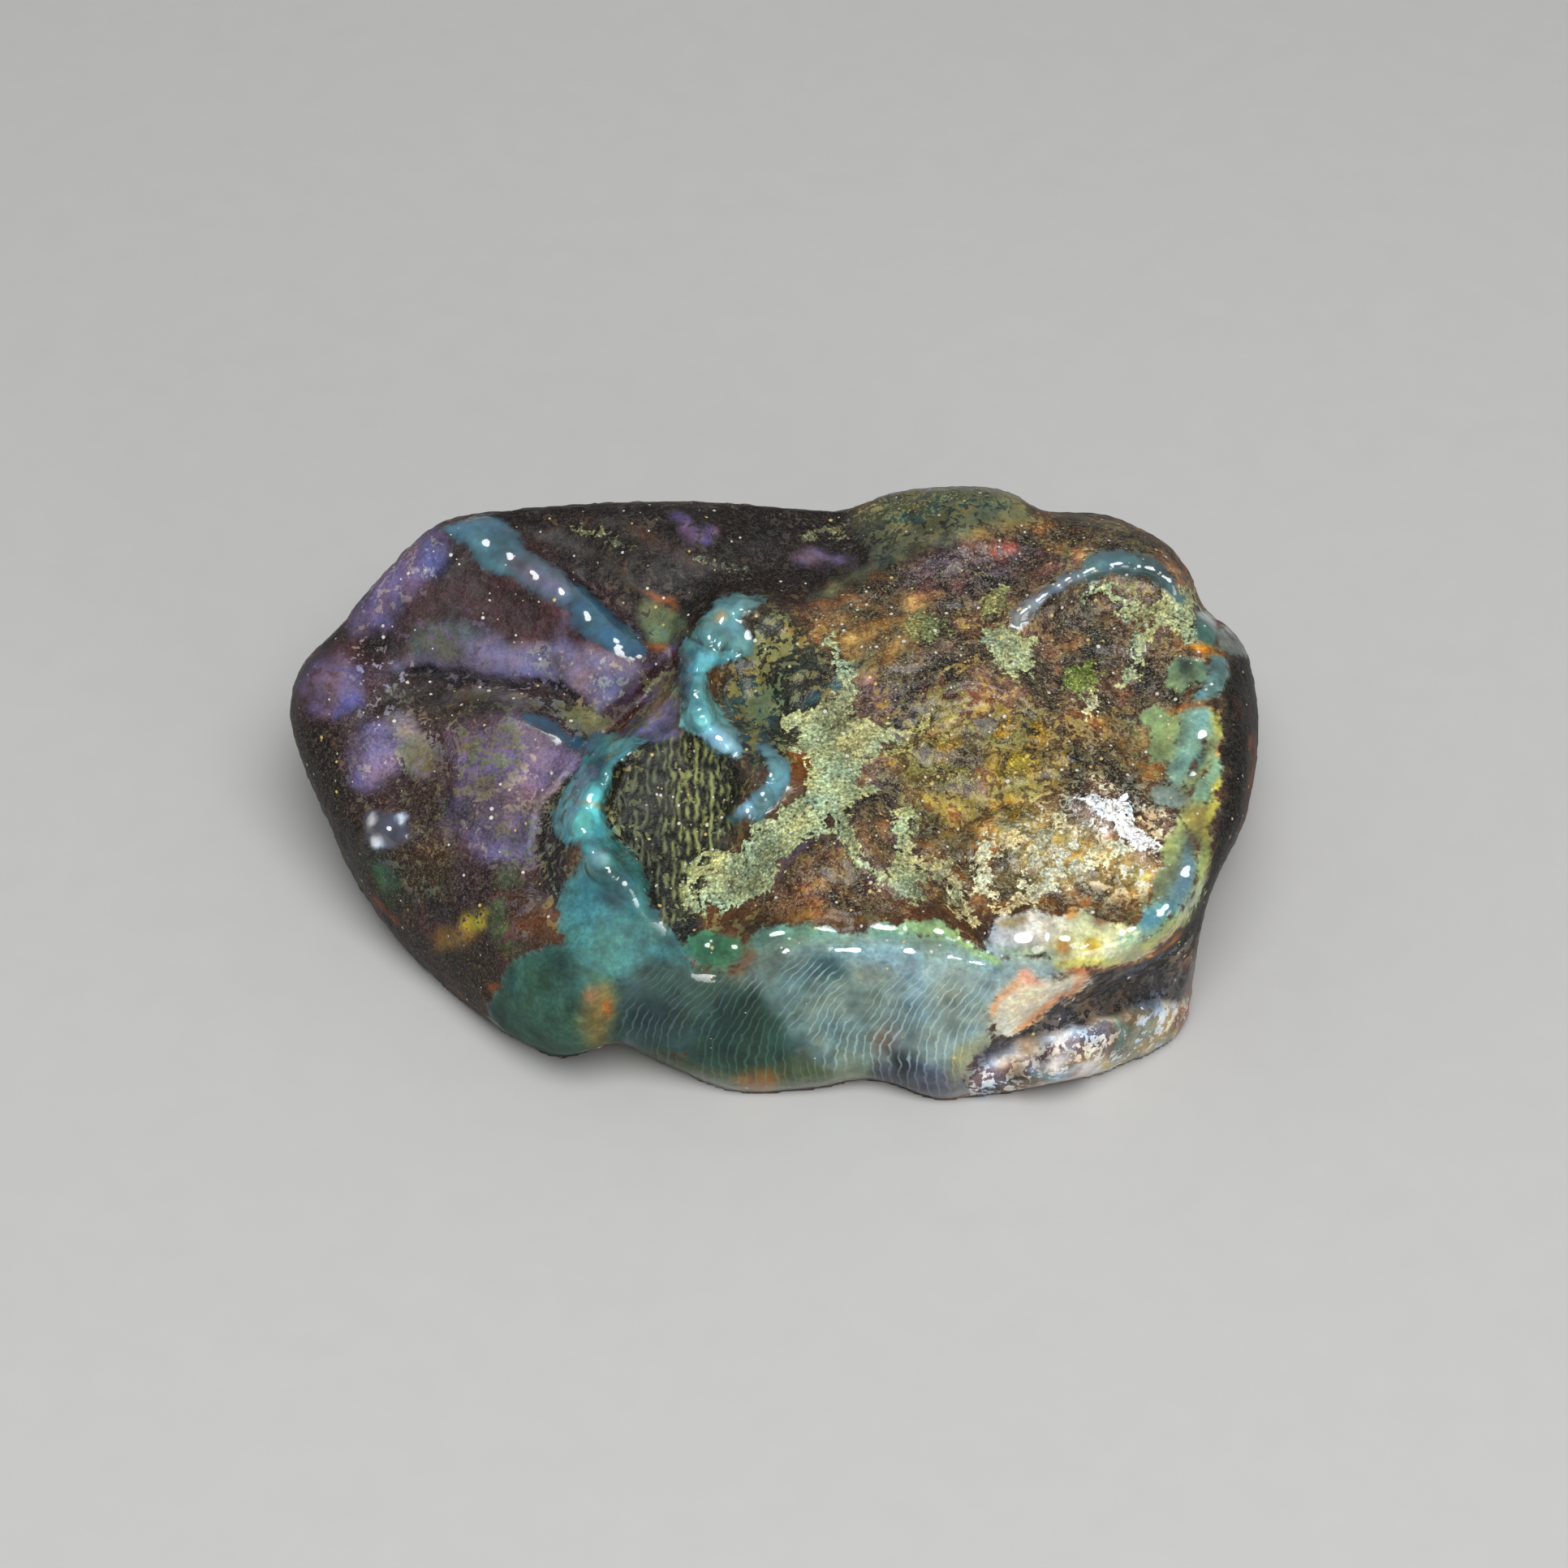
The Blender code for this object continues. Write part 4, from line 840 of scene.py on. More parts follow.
CUTS = [
    (0.50, 0.45, [(690, 700), (730, 725), (760, 760), (790, 785)]),
    (0.22, 0.25, [(697, 950), (668, 985), (655, 1010), (652, 1040), (655, 1070), (662, 1095), (672, 1115)]),
    (0.45, 0.50, SHADED_LILAC_FOLD),
    (0.60, 0.70, [(912, 778), (895, 812), (882, 845), (890, 880), (908, 900)]),
    (0.70, 0.80, [(800, 925), (772, 950), (757, 985), (752, 1010), (765, 1035), (785, 1055), (800, 1085),
                  (808, 1130)]),
    (0.35, 0.45, [(1150, 1082), (1172, 1100), (1190, 1130), (1210, 1155), (1226, 1185)]),
    (0.40, 0.40, [(1290, 1275), (1340, 1252), (1400, 1238), (1455, 1235)]),
    (0.50, 0.35, [(850, 1200), (905, 1198), (945, 1180), (965, 1166), (1050, 1164), (1130, 1166),
                  (1200, 1180), (1240, 1192)]),
    (0.45, 0.35, [(560, 900), (552, 950), (553, 1000), (570, 1050), (600, 1075)]),
    (0.40, 0.40, [(430, 900), (455, 880), (480, 860), (500, 850)]),
    (0.40, 0.35, [(1240, 776), (1275, 758), (1310, 732), (1350, 716), (1400, 712), (1440, 730)]),
    (0.35, 0.35, [(1250, 1286), (1225, 1302), (1200, 1330)]),
    (0.30, 0.30, [(1040, 800), (1052, 830), (1062, 870), (1085, 890)]),
    (0.30, 0.40, [(1140, 1078), (1160, 1086), (1172, 1106), (1186, 1130)]),
    (0.30, 0.35, [(1206, 1040), (1200, 1060), (1202, 1085), (1214, 1112)]),
    (0.35, 0.35, [(1195, 1085), (1180, 1040), (1205, 1000), (1260, 985)]),
    (0.35, 0.30, [(1330, 900), (1345, 940), (1330, 965)]),
    (0.35, 0.35, [(1150, 860), (1200, 850), (1250, 868), (1290, 900)]),
]

LEDGES = [
    (0.30, [(1046, 980), (1075, 972), (1100, 985), (1098, 1020), (1102, 1052), (1082, 1074), (1058, 1042),
            (1046, 1010)]),
    (0.25, [(955, 1090), (985, 1052), (1012, 1025), (1042, 1045), (1078, 1085), (1100, 1115), (1050, 1130),
            (990, 1125), (942, 1122)]),
    (0.18, [(1110, 700), (1160, 675), (1230, 662), (1300, 668), (1320, 690), (1260, 720), (1190, 745),
            (1120, 740)]),
    (0.20, [(1130, 900), (1180, 880), (1240, 885), (1290, 905), (1300, 945), (1250, 965), (1180, 960),
            (1135, 935)]),
    (0.22, [(1290, 870), (1330, 860), (1352, 890), (1340, 930), (1305, 935), (1285, 905)]),
]


# Zones: where the surface or its finish is of another kind

VIOLET_ZONE = area(None, 2.0, [
    (360, 800), (450, 720), (520, 645), (560, 650), (640, 720), (700, 790), (810, 800), (780, 870),
    (730, 930), (680, 1000), (660, 1080), (560, 1060), (540, 980), (420, 980), (370, 900)])
BAND_ZONE = area(None, 1.6, [
    (930, 1205), (985, 1185), (1040, 1190), (1060, 1215), (1110, 1205), (1190, 1205), (1222, 1225),
    (1200, 1275), (1180, 1320), (1160, 1350), (1090, 1335), (1050, 1325), (950, 1335), (842, 1320),
    (770, 1285), (772, 1230), (810, 1195), (880, 1208)])
BOWL_ZONE = area(None, 1.0, [
    (800, 920), (850, 905), (895, 935), (905, 1010), (880, 1060), (850, 1120), (815, 1145), (800, 1090),
    (765, 1030), (758, 985)])
FOLD_ZONE = line(None, 1.0, 1.5, [(740, 915), (700, 970), (678, 1020), (675, 1070), (685, 1105)])
HOOK_ZONE = area(None, 1.0, [
    (960, 735), (880, 735), (835, 800), (780, 860), (700, 930), (665, 1010), (670, 1110), (760, 1110),
    (820, 1150), (860, 1100), (900, 1040), (960, 1000), (990, 940), (960, 860), (985, 790)])
TONGUE_ZONE = area(None, 1.2, [
    (700, 1100), (745, 1078), (790, 1120), (850, 1180), (800, 1210), (770, 1290), (700, 1320), (600, 1280),
    (610, 1180), (690, 1160)])
RIM_ZONE = area(None, 2.0, [
    (690, 1090), (800, 1130), (900, 1130), (1100, 1110), (1300, 1100), (1400, 1000), (1400, 860),
    (1430, 780), (1470, 740), (1560, 740), (1570, 1100), (1500, 1400), (600, 1400), (590, 1180),
    (640, 1160)])
LEFT_ZONE = area(None, 2.0, [
    (340, 890), (360, 820), (446, 725), (555, 625), (700, 700), (735, 900), (690, 990), (665, 1100),
    (640, 1190), (620, 1290), (530, 1230), (420, 1090)])
EDGE_ZONE = line(None, 1.0, 1.4, [
    (1240, 630), (1300, 640), (1360, 645), (1420, 665), (1470, 710), (1500, 770)])
PEACH_ZONE = area(None, 1.0, [
    (1218, 1246), (1242, 1211), (1268, 1192), (1300, 1204), (1344, 1198), (1332, 1220), (1290, 1245),
    (1250, 1276), (1222, 1262)])
WALL_ZONE = area(None, 1.2, [
    (1515, 775), (1545, 800), (1560, 870), (1560, 908), (1548, 994), (1510, 1070), (1490, 1150),
    (1450, 1200), (1380, 1215), (1420, 1180), (1475, 1115), (1490, 1040), (1513, 960), (1512, 870),
    (1515, 820)])
FAR_ZONE = area(None, 2.0, [
    (570, 600), (1040, 600), (1085, 690), (1000, 745), (865, 755), (790, 775), (735, 720), (640, 690)])
GOLDEN_ZONE = area(None, 3.0, [
    (1090, 900), (1150, 860), (1260, 860), (1350, 880), (1440, 930), (1460, 1040), (1420, 1120),
    (1300, 1130), (1200, 1110), (1110, 1050)])
BROWN_ZONE = area(None, 2.0, [
    (1000, 750), (1110, 700), (1200, 665), (1290, 645), (1400, 660), (1470, 720), (1490, 800), (1460, 870),
    (1440, 980), (1450, 1060), (1400, 1120), (1300, 1115), (1230, 1115), (1160, 1110), (1060, 1125),
    (940, 1120), (960, 1080), (1040, 1010), (1030, 900), (1010, 830)])

# Picture heights and places that the lines and the left end are measured from
BAND_TOP = 1160
LEFT_END_TOP = 830
GOLDEN_STREAKS_START = 800


def zone(places, mark):
    """How far each place lies in a mark, from 0 outside to 1 inside."""
    return smooth_step(0.5 + depth_in(places, mark) / mark["soft"])


# The nugget's mesh


def mesh_points(mesh):
    points = np.empty(len(mesh.vertices) * 3, np.float32)
    mesh.vertices.foreach_get("co", points)
    return points.reshape(-1, 3).astype(float) / MM


def mesh_normals(mesh):
    normals = np.empty(len(mesh.vertices) * 3, np.float32)
    mesh.vertex_normals.foreach_get("vector", normals)
    return normals.reshape(-1, 3).astype(float)


def set_points(mesh, points):
    mesh.vertices.foreach_set("co", (points * MM).astype(np.float32).ravel())
    mesh.update()


def apply_modifier(piece, kind, **settings):
    modifier = piece.modifiers.new(kind.lower(), kind)
    for name, value in settings.items():
        setattr(modifier, name, value)
    bpy.ops.object.modifier_apply(modifier=modifier.name)


def facing_camera(points, normals):
    """The direction from each point to the camera, and how far the surface there is turned to it."""
    sight = STONE_MIDDLE + CAMERA_DISTANCE * TOWARD - points
    sight /= np.linalg.norm(sight, axis=1)[:, None]
    return sight, (normals * sight).sum(axis=1)


def fine_copy(node):
    """The stone's solid as a mesh of even small squares, on the seen side at least."""
    bpy.ops.object.select_all(action="DESELECT")
    mesh = node.data.copy()
    mesh.name = "nugget"
    piece = bpy.data.objects.new("nugget", mesh)
    bpy.context.scene.collection.objects.link(piece)
    piece.select_set(True)
    bpy.context.view_layer.objects.active = piece
    bpy.ops.object.mode_set(mode="EDIT")
    bpy.ops.mesh.select_all(action="SELECT")
    bpy.ops.mesh.remove_doubles(threshold=0.001 * MM)
    bpy.ops.object.mode_set(mode="OBJECT")
    apply_modifier(piece, "SUBSURF", levels=1, render_levels=1)
    apply_modifier(piece, "REMESH", mode="VOXEL", voxel_size=VOXEL * MM, adaptivity=0.0)
    apply_modifier(piece, "SMOOTH", factor=0.5, iterations=SMOOTHING_ROUNDS)
    flatten_foot(piece.data)
    thin_out_hidden(piece)
    return piece


def flatten_foot(mesh):
    """Presses the points near the ground that look down onto it."""
    points = mesh_points(mesh)
    foot = points[:, 2] < FOOT
    points[foot, 2] = np.where(mesh_normals(mesh)[foot, 2] < -0.7, 0.0, points[foot, 2])
    set_points(mesh, points)


def thin_out_hidden(piece):
    """Takes points away where the camera can't see them, more of them the further they are turned away."""
    facing = facing_camera(mesh_points(piece.data), mesh_normals(piece.data))[1]
    hidden = piece.vertex_groups.new(name="hidden")
    turned = smooth_step((0.05 - facing) / 0.25)
    levels = 8
    for level in range(1, levels + 1):
        members = np.nonzero(np.round(turned * levels) == level)[0]
        hidden.add(members.tolist(), level / levels, "REPLACE")
    seen_share = (facing > 0).mean()
    ratio = seen_share + (1 - seen_share) * HIDDEN_SHARE
    apply_modifier(piece, "DECIMATE", ratio=ratio, vertex_group="hidden", vertex_group_factor=1.0)


def divide_seen(piece):
    """Halves the spacing of the mesh on the cut front, the hook and the curtain."""
    mesh = piece.data
    points = mesh_points(mesh)
    facing = facing_camera(points, mesh_normals(mesh))[1]
    places = picture_places(points)
    wanted = (facing > 0.1) & ((depth_in(places, BAND_ZONE) > -0.5) | (depth_in(places, HOOK_ZONE) > 0))
    for face in mesh.polygons:
        face.select = all(wanted[index] for index in face.vertices)
    bpy.ops.object.mode_set(mode="EDIT")
    bpy.ops.mesh.select_mode(type="FACE")
    bpy.ops.mesh.subdivide(number_cuts=1, smoothness=0.0)
    bpy.ops.object.mode_set(mode="OBJECT")


# Marks laid on the stone


def noise_at(points, wavelength, shift=0.0):
    """Smooth random values about 0 that change over this wavelength. Another shift gives another pattern."""
    return np.array([noise.noise(place) for place in (points / wavelength + shift).tolist()])


def drawn_relief(places):
    """Height of the beads, cuts and ledges over the surface."""
    height = np.zeros(len(places))
    for radius, rise, place in BEADS:
        distance = np.hypot(*(places - place).T) * PIXEL / radius
        height = np.maximum(height, rise * np.maximum(1 - distance**2, 0) ** 0.8)
    for half_width, depth, points in CUTS:
        distance, along, length = near_line(places, smooth_line(points))
        to_end = np.minimum(along, length - along) * PIXEL
        taper = np.clip(to_end / (4 * half_width), 0, 1)
        height -= depth * taper * np.exp(-(distance * PIXEL / half_width) ** 2)
    for rise, points in LEDGES:
        height += rise * zone(places, area(None, 0.7, points))
    return height


def blended(places, marks, start, key="colour"):
    """Values of marks laid one after another over a start value. Start is one value, or one per place."""
    values = np.broadcast_to(np.array(start, float), (len(places), np.shape(start)[-1])).copy()
    for mark in marks:
        values += zone(places, mark)[:, None] * (np.atleast_1d(mark[key]) - values)
    return values


def pooled(places, marks, run):
    """Colours of marks side by side, running into each other over a short way, and the depth in them."""
    total = np.zeros(len(places))
    colours = np.zeros((len(places), 3))
    deepest = np.full(len(places), -REACH)
    for mark in marks:
        depth = depth_in(places, mark)
        weight = np.exp(np.clip(depth, -REACH, 2.5) / run)
        colours += weight[:, None] * np.array(mark["colour"])
        total += weight
        deepest = np.maximum(deepest, depth)
    return colours / total[:, None], deepest


def drawn_lines(points, places, skin_colour):
    """The fine parallel lines: their phase, how clear they are, and their colour. They are the ripples of the
    cut front, the streaks of the bowl and the strands in the fold."""
    across, down = (places * PIXEL).T
    flat = np.stack((across, down, np.zeros(len(across))), axis=-1)
    run = np.maximum(down - BAND_TOP * PIXEL, 0)
    bend = 0.95 * (run - np.maximum(run - 4.0, 0) ** 2 / 11)
    wander = 0.55 * noise_at(flat, 3.0, 61) + 0.16 * noise_at(flat, 0.8, 63)
    scallop = 0.09 * np.abs(np.sin(down * math.pi / 0.95 + 2 * noise_at(flat, 1.5, 62)))
    phase = (across + bend + wander + scallop) / RIPPLE_PITCH
    shown = zone(places, BAND_ZONE) * smooth_step(0.75 + 1.4 * noise_at(flat, 2.2, 65))
    colour = np.minimum(skin_colour * 1.32 + 0.09, 0.95)

    streak, strand = zone(places, BOWL_ZONE), zone(places, FOLD_ZONE)
    in_bowl, in_fold = streak > 0, (strand > 0) & (streak <= 0)
    wave = across + 0.5 * noise_at(flat, 1.8, 67) + 0.16 * noise_at(flat, 0.6, 68)
    off_fold = near_line(places, smooth_line(FOLD_ZONE["points"]))[0] * PIXEL + 0.4 * noise_at(flat, 1.6, 69)
    broken = smooth_step(0.40 + 1.8 * noise_at(flat * (1.0, 0.6, 1.0), 0.55, 71))
    phase = np.where(in_bowl, wave / STREAK_PITCH, np.where(in_fold, off_fold / STRAND_PITCH, phase))
    shown = np.where(in_bowl, streak * broken * 1.6, np.where(in_fold, strand * broken * 1.3, shown))
    golden_share = smooth_step((places[in_bowl, 0] - GOLDEN_STREAKS_START) / 50)[:, None]
    colour[in_bowl] = STREAK + golden_share * (GOLDEN_STREAK - STREAK)
    colour[in_fold] = STRAND
    return phase, shown, colour


def surveyed(points, normals):
    """What is where on the stone: how each point lies to the camera, its place in the picture, and which
    skin, crust, zones and lines it lies in."""
    stone = SimpleNamespace(points=points, normals=normals, places=picture_places(points))
    stone.sight, stone.facing = facing_camera(points, normals)
    stone.seen = smooth_step((stone.facing + 0.12) / 0.2)
    stone.hidden = 1 - stone.seen
    warp = np.stack([
        0.55 * noise_at(points, 3.0, shift) + 0.38 * noise_at(points, 1.2, shift + 40)
        + 0.16 * noise_at(points, 0.55, shift + 80) for shift in (10, 20)
    ], axis=-1) / PIXEL
    stone.loose = stone.places + warp
    stone.tight = stone.places + 0.45 * warp

    stone.middling = noise_at(points, 3.4, 15)
    stone.tone = noise_at(points, 12.0, 25)
    near_edge = smooth_step((stone.facing + 0.5) / 0.45)
    hidden_skin = 4.0 * (noise_at(points, 9.0, 5) - 0.28) + 1.2 * stone.middling - 2.5 * near_edge
    hidden_crust = 3.5 * (noise_at(points, 7.0, 35) - 0.30) + 1.6 * stone.middling
    stone.skin_colour, skin = pooled(stone.tight, SKIN, SKIN_RUN)
    stone.crust_colour, crust = pooled(stone.loose, CRUST_AND_HIGHLIGHT, CRUST_RUN)
    stone.skin = np.where(stone.seen > 0.5, skin, hidden_skin)
    stone.crust = np.where(stone.seen > 0.5, crust, hidden_crust)
    stone.on_skin = smooth_step(0.5 + stone.skin / 0.5)
    stone.on_crust = smooth_step(0.5 + (stone.crust + 0.25 * noise_at(points, 0.8, 3)) / 0.3)

    stone.brown, stone.violet, stone.golden = (
        zone(stone.loose, mark) * stone.seen for mark in (BROWN_ZONE, VIOLET_ZONE, GOLDEN_ZONE))
    stone.band, stone.bowl, stone.tongue, stone.peach, stone.wall, stone.left, stone.far, stone.edge = (
        zone(stone.places, mark) * stone.seen for mark in (
            BAND_ZONE, BOWL_ZONE, TONGUE_ZONE, PEACH_ZONE, WALL_ZONE, LEFT_ZONE, FAR_ZONE, EDGE_ZONE))
    stone.low_left = stone.left * smooth_step((stone.places[:, 1] - LEFT_END_TOP) / 80)
    stone.rim = zone(stone.places, RIM_ZONE)
    stone.phase, lines, stone.line_colour = drawn_lines(points, stone.places, stone.skin_colour)
    stone.lines = lines * stone.seen
    return stone


def raise_relief(stone):
    """Moves the points of the stone out and in by its fine relief."""
    points, on_skin, off_skin = stone.points, stone.on_skin, 1 - stone.on_skin
    ridged = 0.5 - np.abs(noise_at(points, 1.9, 7)) * 1.6
    lumps, grains = noise_at(points, 1.25, 9), noise_at(points, 0.75, 11)
    uneven = RIDGE_RISE * ridged + LUMP_RISE * lumps + GRAIN_RISE * grains
    rough = 0.8 + 0.3 * stone.brown + 0.2 * stone.hidden
    rough *= 1 - 0.88 * np.maximum(stone.band, on_skin * stone.seen)
    push = rough * uneven
    push += stone.on_crust * off_skin * (CRUST_RISE + CRUST_LUMP_RISE * noise_at(points, 0.6, 13))
    push += HIDDEN_SKIN_RISE * on_skin * stone.hidden
    push += ROCK_RISE * stone.brown * off_skin * noise_at(points, 2.3, 21)
    ridge = on_skin * (1 - np.maximum(stone.band, stone.tongue)) * stone.seen
    push += ridge * (RIM_LUMP_RISE * noise_at(points, 1.9, 17) + RIM_GRAIN_RISE * noise_at(points, 0.8, 19))
    off_line = np.abs(stone.phase - np.round(stone.phase)) * 2
    push += RIPPLE_RISE * stone.lines * (0.5 - off_line)
    lift = drawn_relief(stone.places) * stone.seen / np.maximum(stone.facing, 0.5)
    off_ground = smooth_step(points[:, 2] / GROUND_MARGIN)[:, None]
    points += off_ground * (stone.sight * lift[:, None] + stone.normals * push[:, None])


def hidden_colours(points, tone, middling):
    """Colours under the skin on the hidden sides: umber, with violet and olive where the noise is high."""
    left = smooth_step((-points[:, 0] - 2) / 18)
    colours = np.tile(HIDDEN_UMBER, (len(points), 1))
    for share, colour in (
            (left * smooth_step((tone + 0.10) / 0.3), HIDDEN_VIOLET),
            (smooth_step((middling - 0.12) / 0.25), HIDDEN_OLIVE),
            ((1 - left) * smooth_step((0.05 - tone) / 0.25), HIDDEN_AMBER)):
        colours += share[:, None] * (colour - colours)
    return colours


def shifted_tone(points, colours, strength, warmth):
    """Colours made lighter, darker, warmer and cooler by noise of several sizes."""
    swing = 1.25 * noise_at(points, 4.2, 51) + 1.15 * noise_at(points, 1.7, 53)
    swing += 0.7 * noise_at(points, 0.85, 55)
    warm = warmth * (noise_at(points, 2.9, 57) + 0.6 * noise_at(points, 1.2, 59))
    gain = 2.0 ** (np.where(swing > 0, 0.6, 1.0) * swing * strength)
    tint = np.stack((2.0 ** (0.55 * warm), np.ones(len(points)), 2.0 ** (-0.7 * warm)), axis=-1)
    return colours * gain[:, None] * tint


def light_values(colours):
    """Colours as amounts of light."""
    return np.where(colours <= 0.04045, colours / 12.92, ((colours + 0.055) / 1.055) ** 2.4)


def set_colours(mesh, name, colours):
    attribute = mesh.attributes.new(name, "FLOAT_COLOR", "POINT")
    values = np.ones((len(colours), 4), np.float32)
    values[:, :3] = light_values(np.clip(colours, 0, 1))
    attribute.data.foreach_set("color", values.ravel())


def set_values(mesh, name, values):
    attribute = mesh.attributes.new(name, "FLOAT", "POINT")
    attribute.data.foreach_set("value", values.astype(np.float32))


def write_colours(mesh, stone):
    """Writes the colours under the skin, of the flecks, of the crust, of the skin and of its lines. The skin
    is darkened towards the edges of its narrow ridges: painted shade.
    """
    points, hidden = stone.points, stone.hidden[:, None]
    under = blended(stone.loose, UNDER, UNMARKED)
    under += hidden * (hidden_colours(points, stone.tone, stone.middling) - under)
    fleck = blended(stone.loose, FLECKS, UNMARKED_FLECK)
    fleck += hidden * (hidden_colours(points, -stone.tone, -stone.middling) * 1.3 - fleck)
    crust = stone.crust_colour + hidden * (HIDDEN_CRUST - stone.crust_colour)

    skin = blended(stone.tight, STAINS_AND_HIGHLIGHTS, stone.skin_colour)
    # Painted shade: narrow ridges are darkened towards their edges so that they look rounded; not on the rims
    # and the band.
    edge = 1 - smooth_step((stone.skin + 0.15) / 0.75)
    skin *= (1 - 0.28 * (1 - stone.rim) * (1 - stone.band) * edge)[:, None]
    hidden_skin = HIDDEN_SKIN + 0.10 * stone.middling[:, None] * HIDDEN_SKIN_SWING
    skin += hidden * (hidden_skin - skin)

    calm = 1 - 0.25 * stone.violet
    under_swing = (0.60 + 0.80 * stone.brown) * calm
    fleck_swing = (0.50 + 0.45 * stone.brown) * calm
    skin_swing = 0.40 - 0.12 * stone.band - 0.25 * stone.peach
    set_colours(mesh, "under_colour", shifted_tone(points, under, under_swing, 0.45 * calm))
    set_colours(mesh, "fleck_colour", shifted_tone(points, fleck, fleck_swing, 0.5 * calm))
    set_colours(mesh, "skin_colour", shifted_tone(points + 90, skin, skin_swing, 0.22))
    set_colours(mesh, "crust_colour", shifted_tone(points + 50, crust, 0.40, 0.3))
    set_colours(mesh, "line_colour", stone.line_colour)


def write_finish(mesh, stone):
    """Writes how much there is of each finish: grit, flecks, skin, crust, gloss, veins, lines and glints."""
    share = blended(stone.loose, FLECKS, UNMARKED_SHARE, "share")[:, 0]
    share *= (1 + 0.9 * noise_at(stone.points, 3.6, 73)) * (1 - 0.25 * stone.bowl)
    grit = 0.45 + 0.55 * stone.brown - 0.15 * stone.golden - 0.05 * stone.violet + 0.20 * stone.low_left
    dull = np.max((stone.violet, stone.bowl, stone.far, stone.left, stone.edge), axis=0)
    matt = np.maximum(0.65 * dull * (1 - stone.on_skin), 0.8 * stone.wall)
    satin = np.maximum(stone.band, stone.tongue * stone.on_skin)
    glint = 0.20 + 0.50 * np.maximum(stone.brown, stone.golden) + 0.18 * stone.violet + 0.60 * stone.bowl
    glint -= 0.10 * stone.on_skin * (1 - stone.rim) + 0.20 * stone.tongue
    glint += 0.25 * stone.on_crust - 0.12 * stone.low_left
    for name, values in {
        "grit": np.clip(grit, 0, 1),
        "fleck_share": np.clip(share, 0, 1),
        "skin_depth": stone.skin,
        "crust_depth": stone.crust,
        "rim": stone.rim * (1 - stone.band) * stone.seen,
        "wet": 1 - np.maximum(satin, matt),
        "veins": np.clip(0.85 * stone.golden + 0.55 * stone.brown, 0, 1),
        "line_phase": stone.phase,
        "line_share": stone.lines,
        "line_width": 1 + 1.4 * stone.bowl,
        "glint_share": np.where(stone.band > 0.5, 0.05, glint),
    }.items():
        set_values(mesh, name, values)


# Materials


class Wiring:
    """Adds and joins the nodes of one tree."""

    def __init__(self, tree):
        self.tree = tree

    def add(self, kind, **settings):
        node = self.tree.nodes.new(kind)
        for name, value in settings.items():
            setattr(node, name, value)
        return node

    def put(self, socket, value):
        if isinstance(value, bpy.types.NodeSocket):
            self.tree.links.new(value, socket)
        else:
            socket.default_value = value

    def filled(self, node, **values):
        """The node with values or links in its named inputs, where an underscore stands for a space."""
        for name, value in values.items():
            self.put(node.inputs[name.replace("_", " ")], value)
        return node

    def math(self, operation, first, second=0.0):
        node = self.add("ShaderNodeMath", operation=operation)
        self.put(node.inputs[0], first)
        self.put(node.inputs[1], second)
        return node.outputs[0]

    def times(self, first, second):
        return self.math("MULTIPLY", first, second)

    def plus(self, first, second):
        return self.math("ADD", first, second)

    def minus(self, first, second):
        return self.math("SUBTRACT", first, second)

    def step(self, value, low, high, out_low=0.0, out_high=1.0):
        """A soft step from one value to another."""
        node = self.add("ShaderNodeMapRange", interpolation_type="SMOOTHSTEP")
        self.filled(node, Value=value, From_Min=low, From_Max=high, To_Min=out_low, To_Max=out_high)
        return node.outputs[0]

    def near(self, value, middle, inner, outer):
        """One where a value is within inner of the middle, nothing where it is outer or more away from it."""
        return self.step(self.math("ABSOLUTE", self.minus(value, middle)), inner, outer, 1.0, 0.0)

    def blend(self, factor, first, second, how="MIX"):
        node = self.add("ShaderNodeMix", data_type="RGBA", blend_type=how)
        self.put(node.inputs["Factor"], factor)
        self.put(node.inputs[6], first)
        self.put(node.inputs[7], second)
        return node.outputs[2]

    def noise(self, place, wavelength, detail=2.0, roughness=0.55, distortion=0.0):
        node = self.add("ShaderNodeTexNoise")
        self.filled(node, Vector=place, Scale=1 / wavelength, Detail=detail, Roughness=roughness,
                    Distortion=distortion)
        return node.outputs["Fac"]

    def value(self, name):
        """The number that the mesh carries under this name."""
        return self.add("ShaderNodeAttribute", attribute_name=name).outputs["Fac"]

    def colour(self, name):
        """The colour that the mesh carries under this name."""
        return self.add("ShaderNodeAttribute", attribute_name=name).outputs["Color"]

    def moved(self, place, offset):
        node = self.add("ShaderNodeVectorMath", operation="ADD")
        self.put(node.inputs[0], place)
        node.inputs[1].default_value = offset
        return node.outputs[0]

    def scaled(self, place, size):
        node = self.add("ShaderNodeVectorMath", operation="SCALE")
        self.put(node.inputs[0], place)
        node.inputs["Scale"].default_value = size
        return node.outputs[0]

    def group(self, tree, **values):
        return self.filled(self.add("ShaderNodeGroup", node_tree=tree), **values).outputs


def new_group(name, inputs, outputs):
    """A node group with these sockets, and its input and output ends."""
    tree = bpy.data.node_groups.new(name, "ShaderNodeTree")
    kinds = {"number": "NodeSocketFloat", "colour": "NodeSocketColor", "place": "NodeSocketVector"}
    for direction, sockets in (("INPUT", inputs), ("OUTPUT", outputs)):
        for socket, kind in sockets.items():
            tree.interface.new_socket(socket, in_out=direction, socket_type=kinds[kind])
    wiring = Wiring(tree)
    return tree, wiring, wiring.add("NodeGroupInput").outputs, wiring.add("NodeGroupOutput").inputs


def ragged_edge_group():
    """A ragged edge from a depth in millimetres, which two noises shift before it is cut off at zero."""
    tree, w, given, wanted = new_group(
        "ragged edge",
        dict.fromkeys(("Depth", "Broad", "Fine", "Raggedness", "Softness"), "number"),
        {"Mask": "number"},
    )
    shift = w.plus(w.times(w.minus(given["Broad"], 0.5), 2.2), w.times(w.minus(given["Fine"], 0.5), 0.9))
    depth = w.plus(given["Depth"], w.times(shift, given["Raggedness"]))
    w.put(wanted["Mask"], w.step(depth, w.times(given["Softness"], -1.0), given["Softness"]))
    return tree


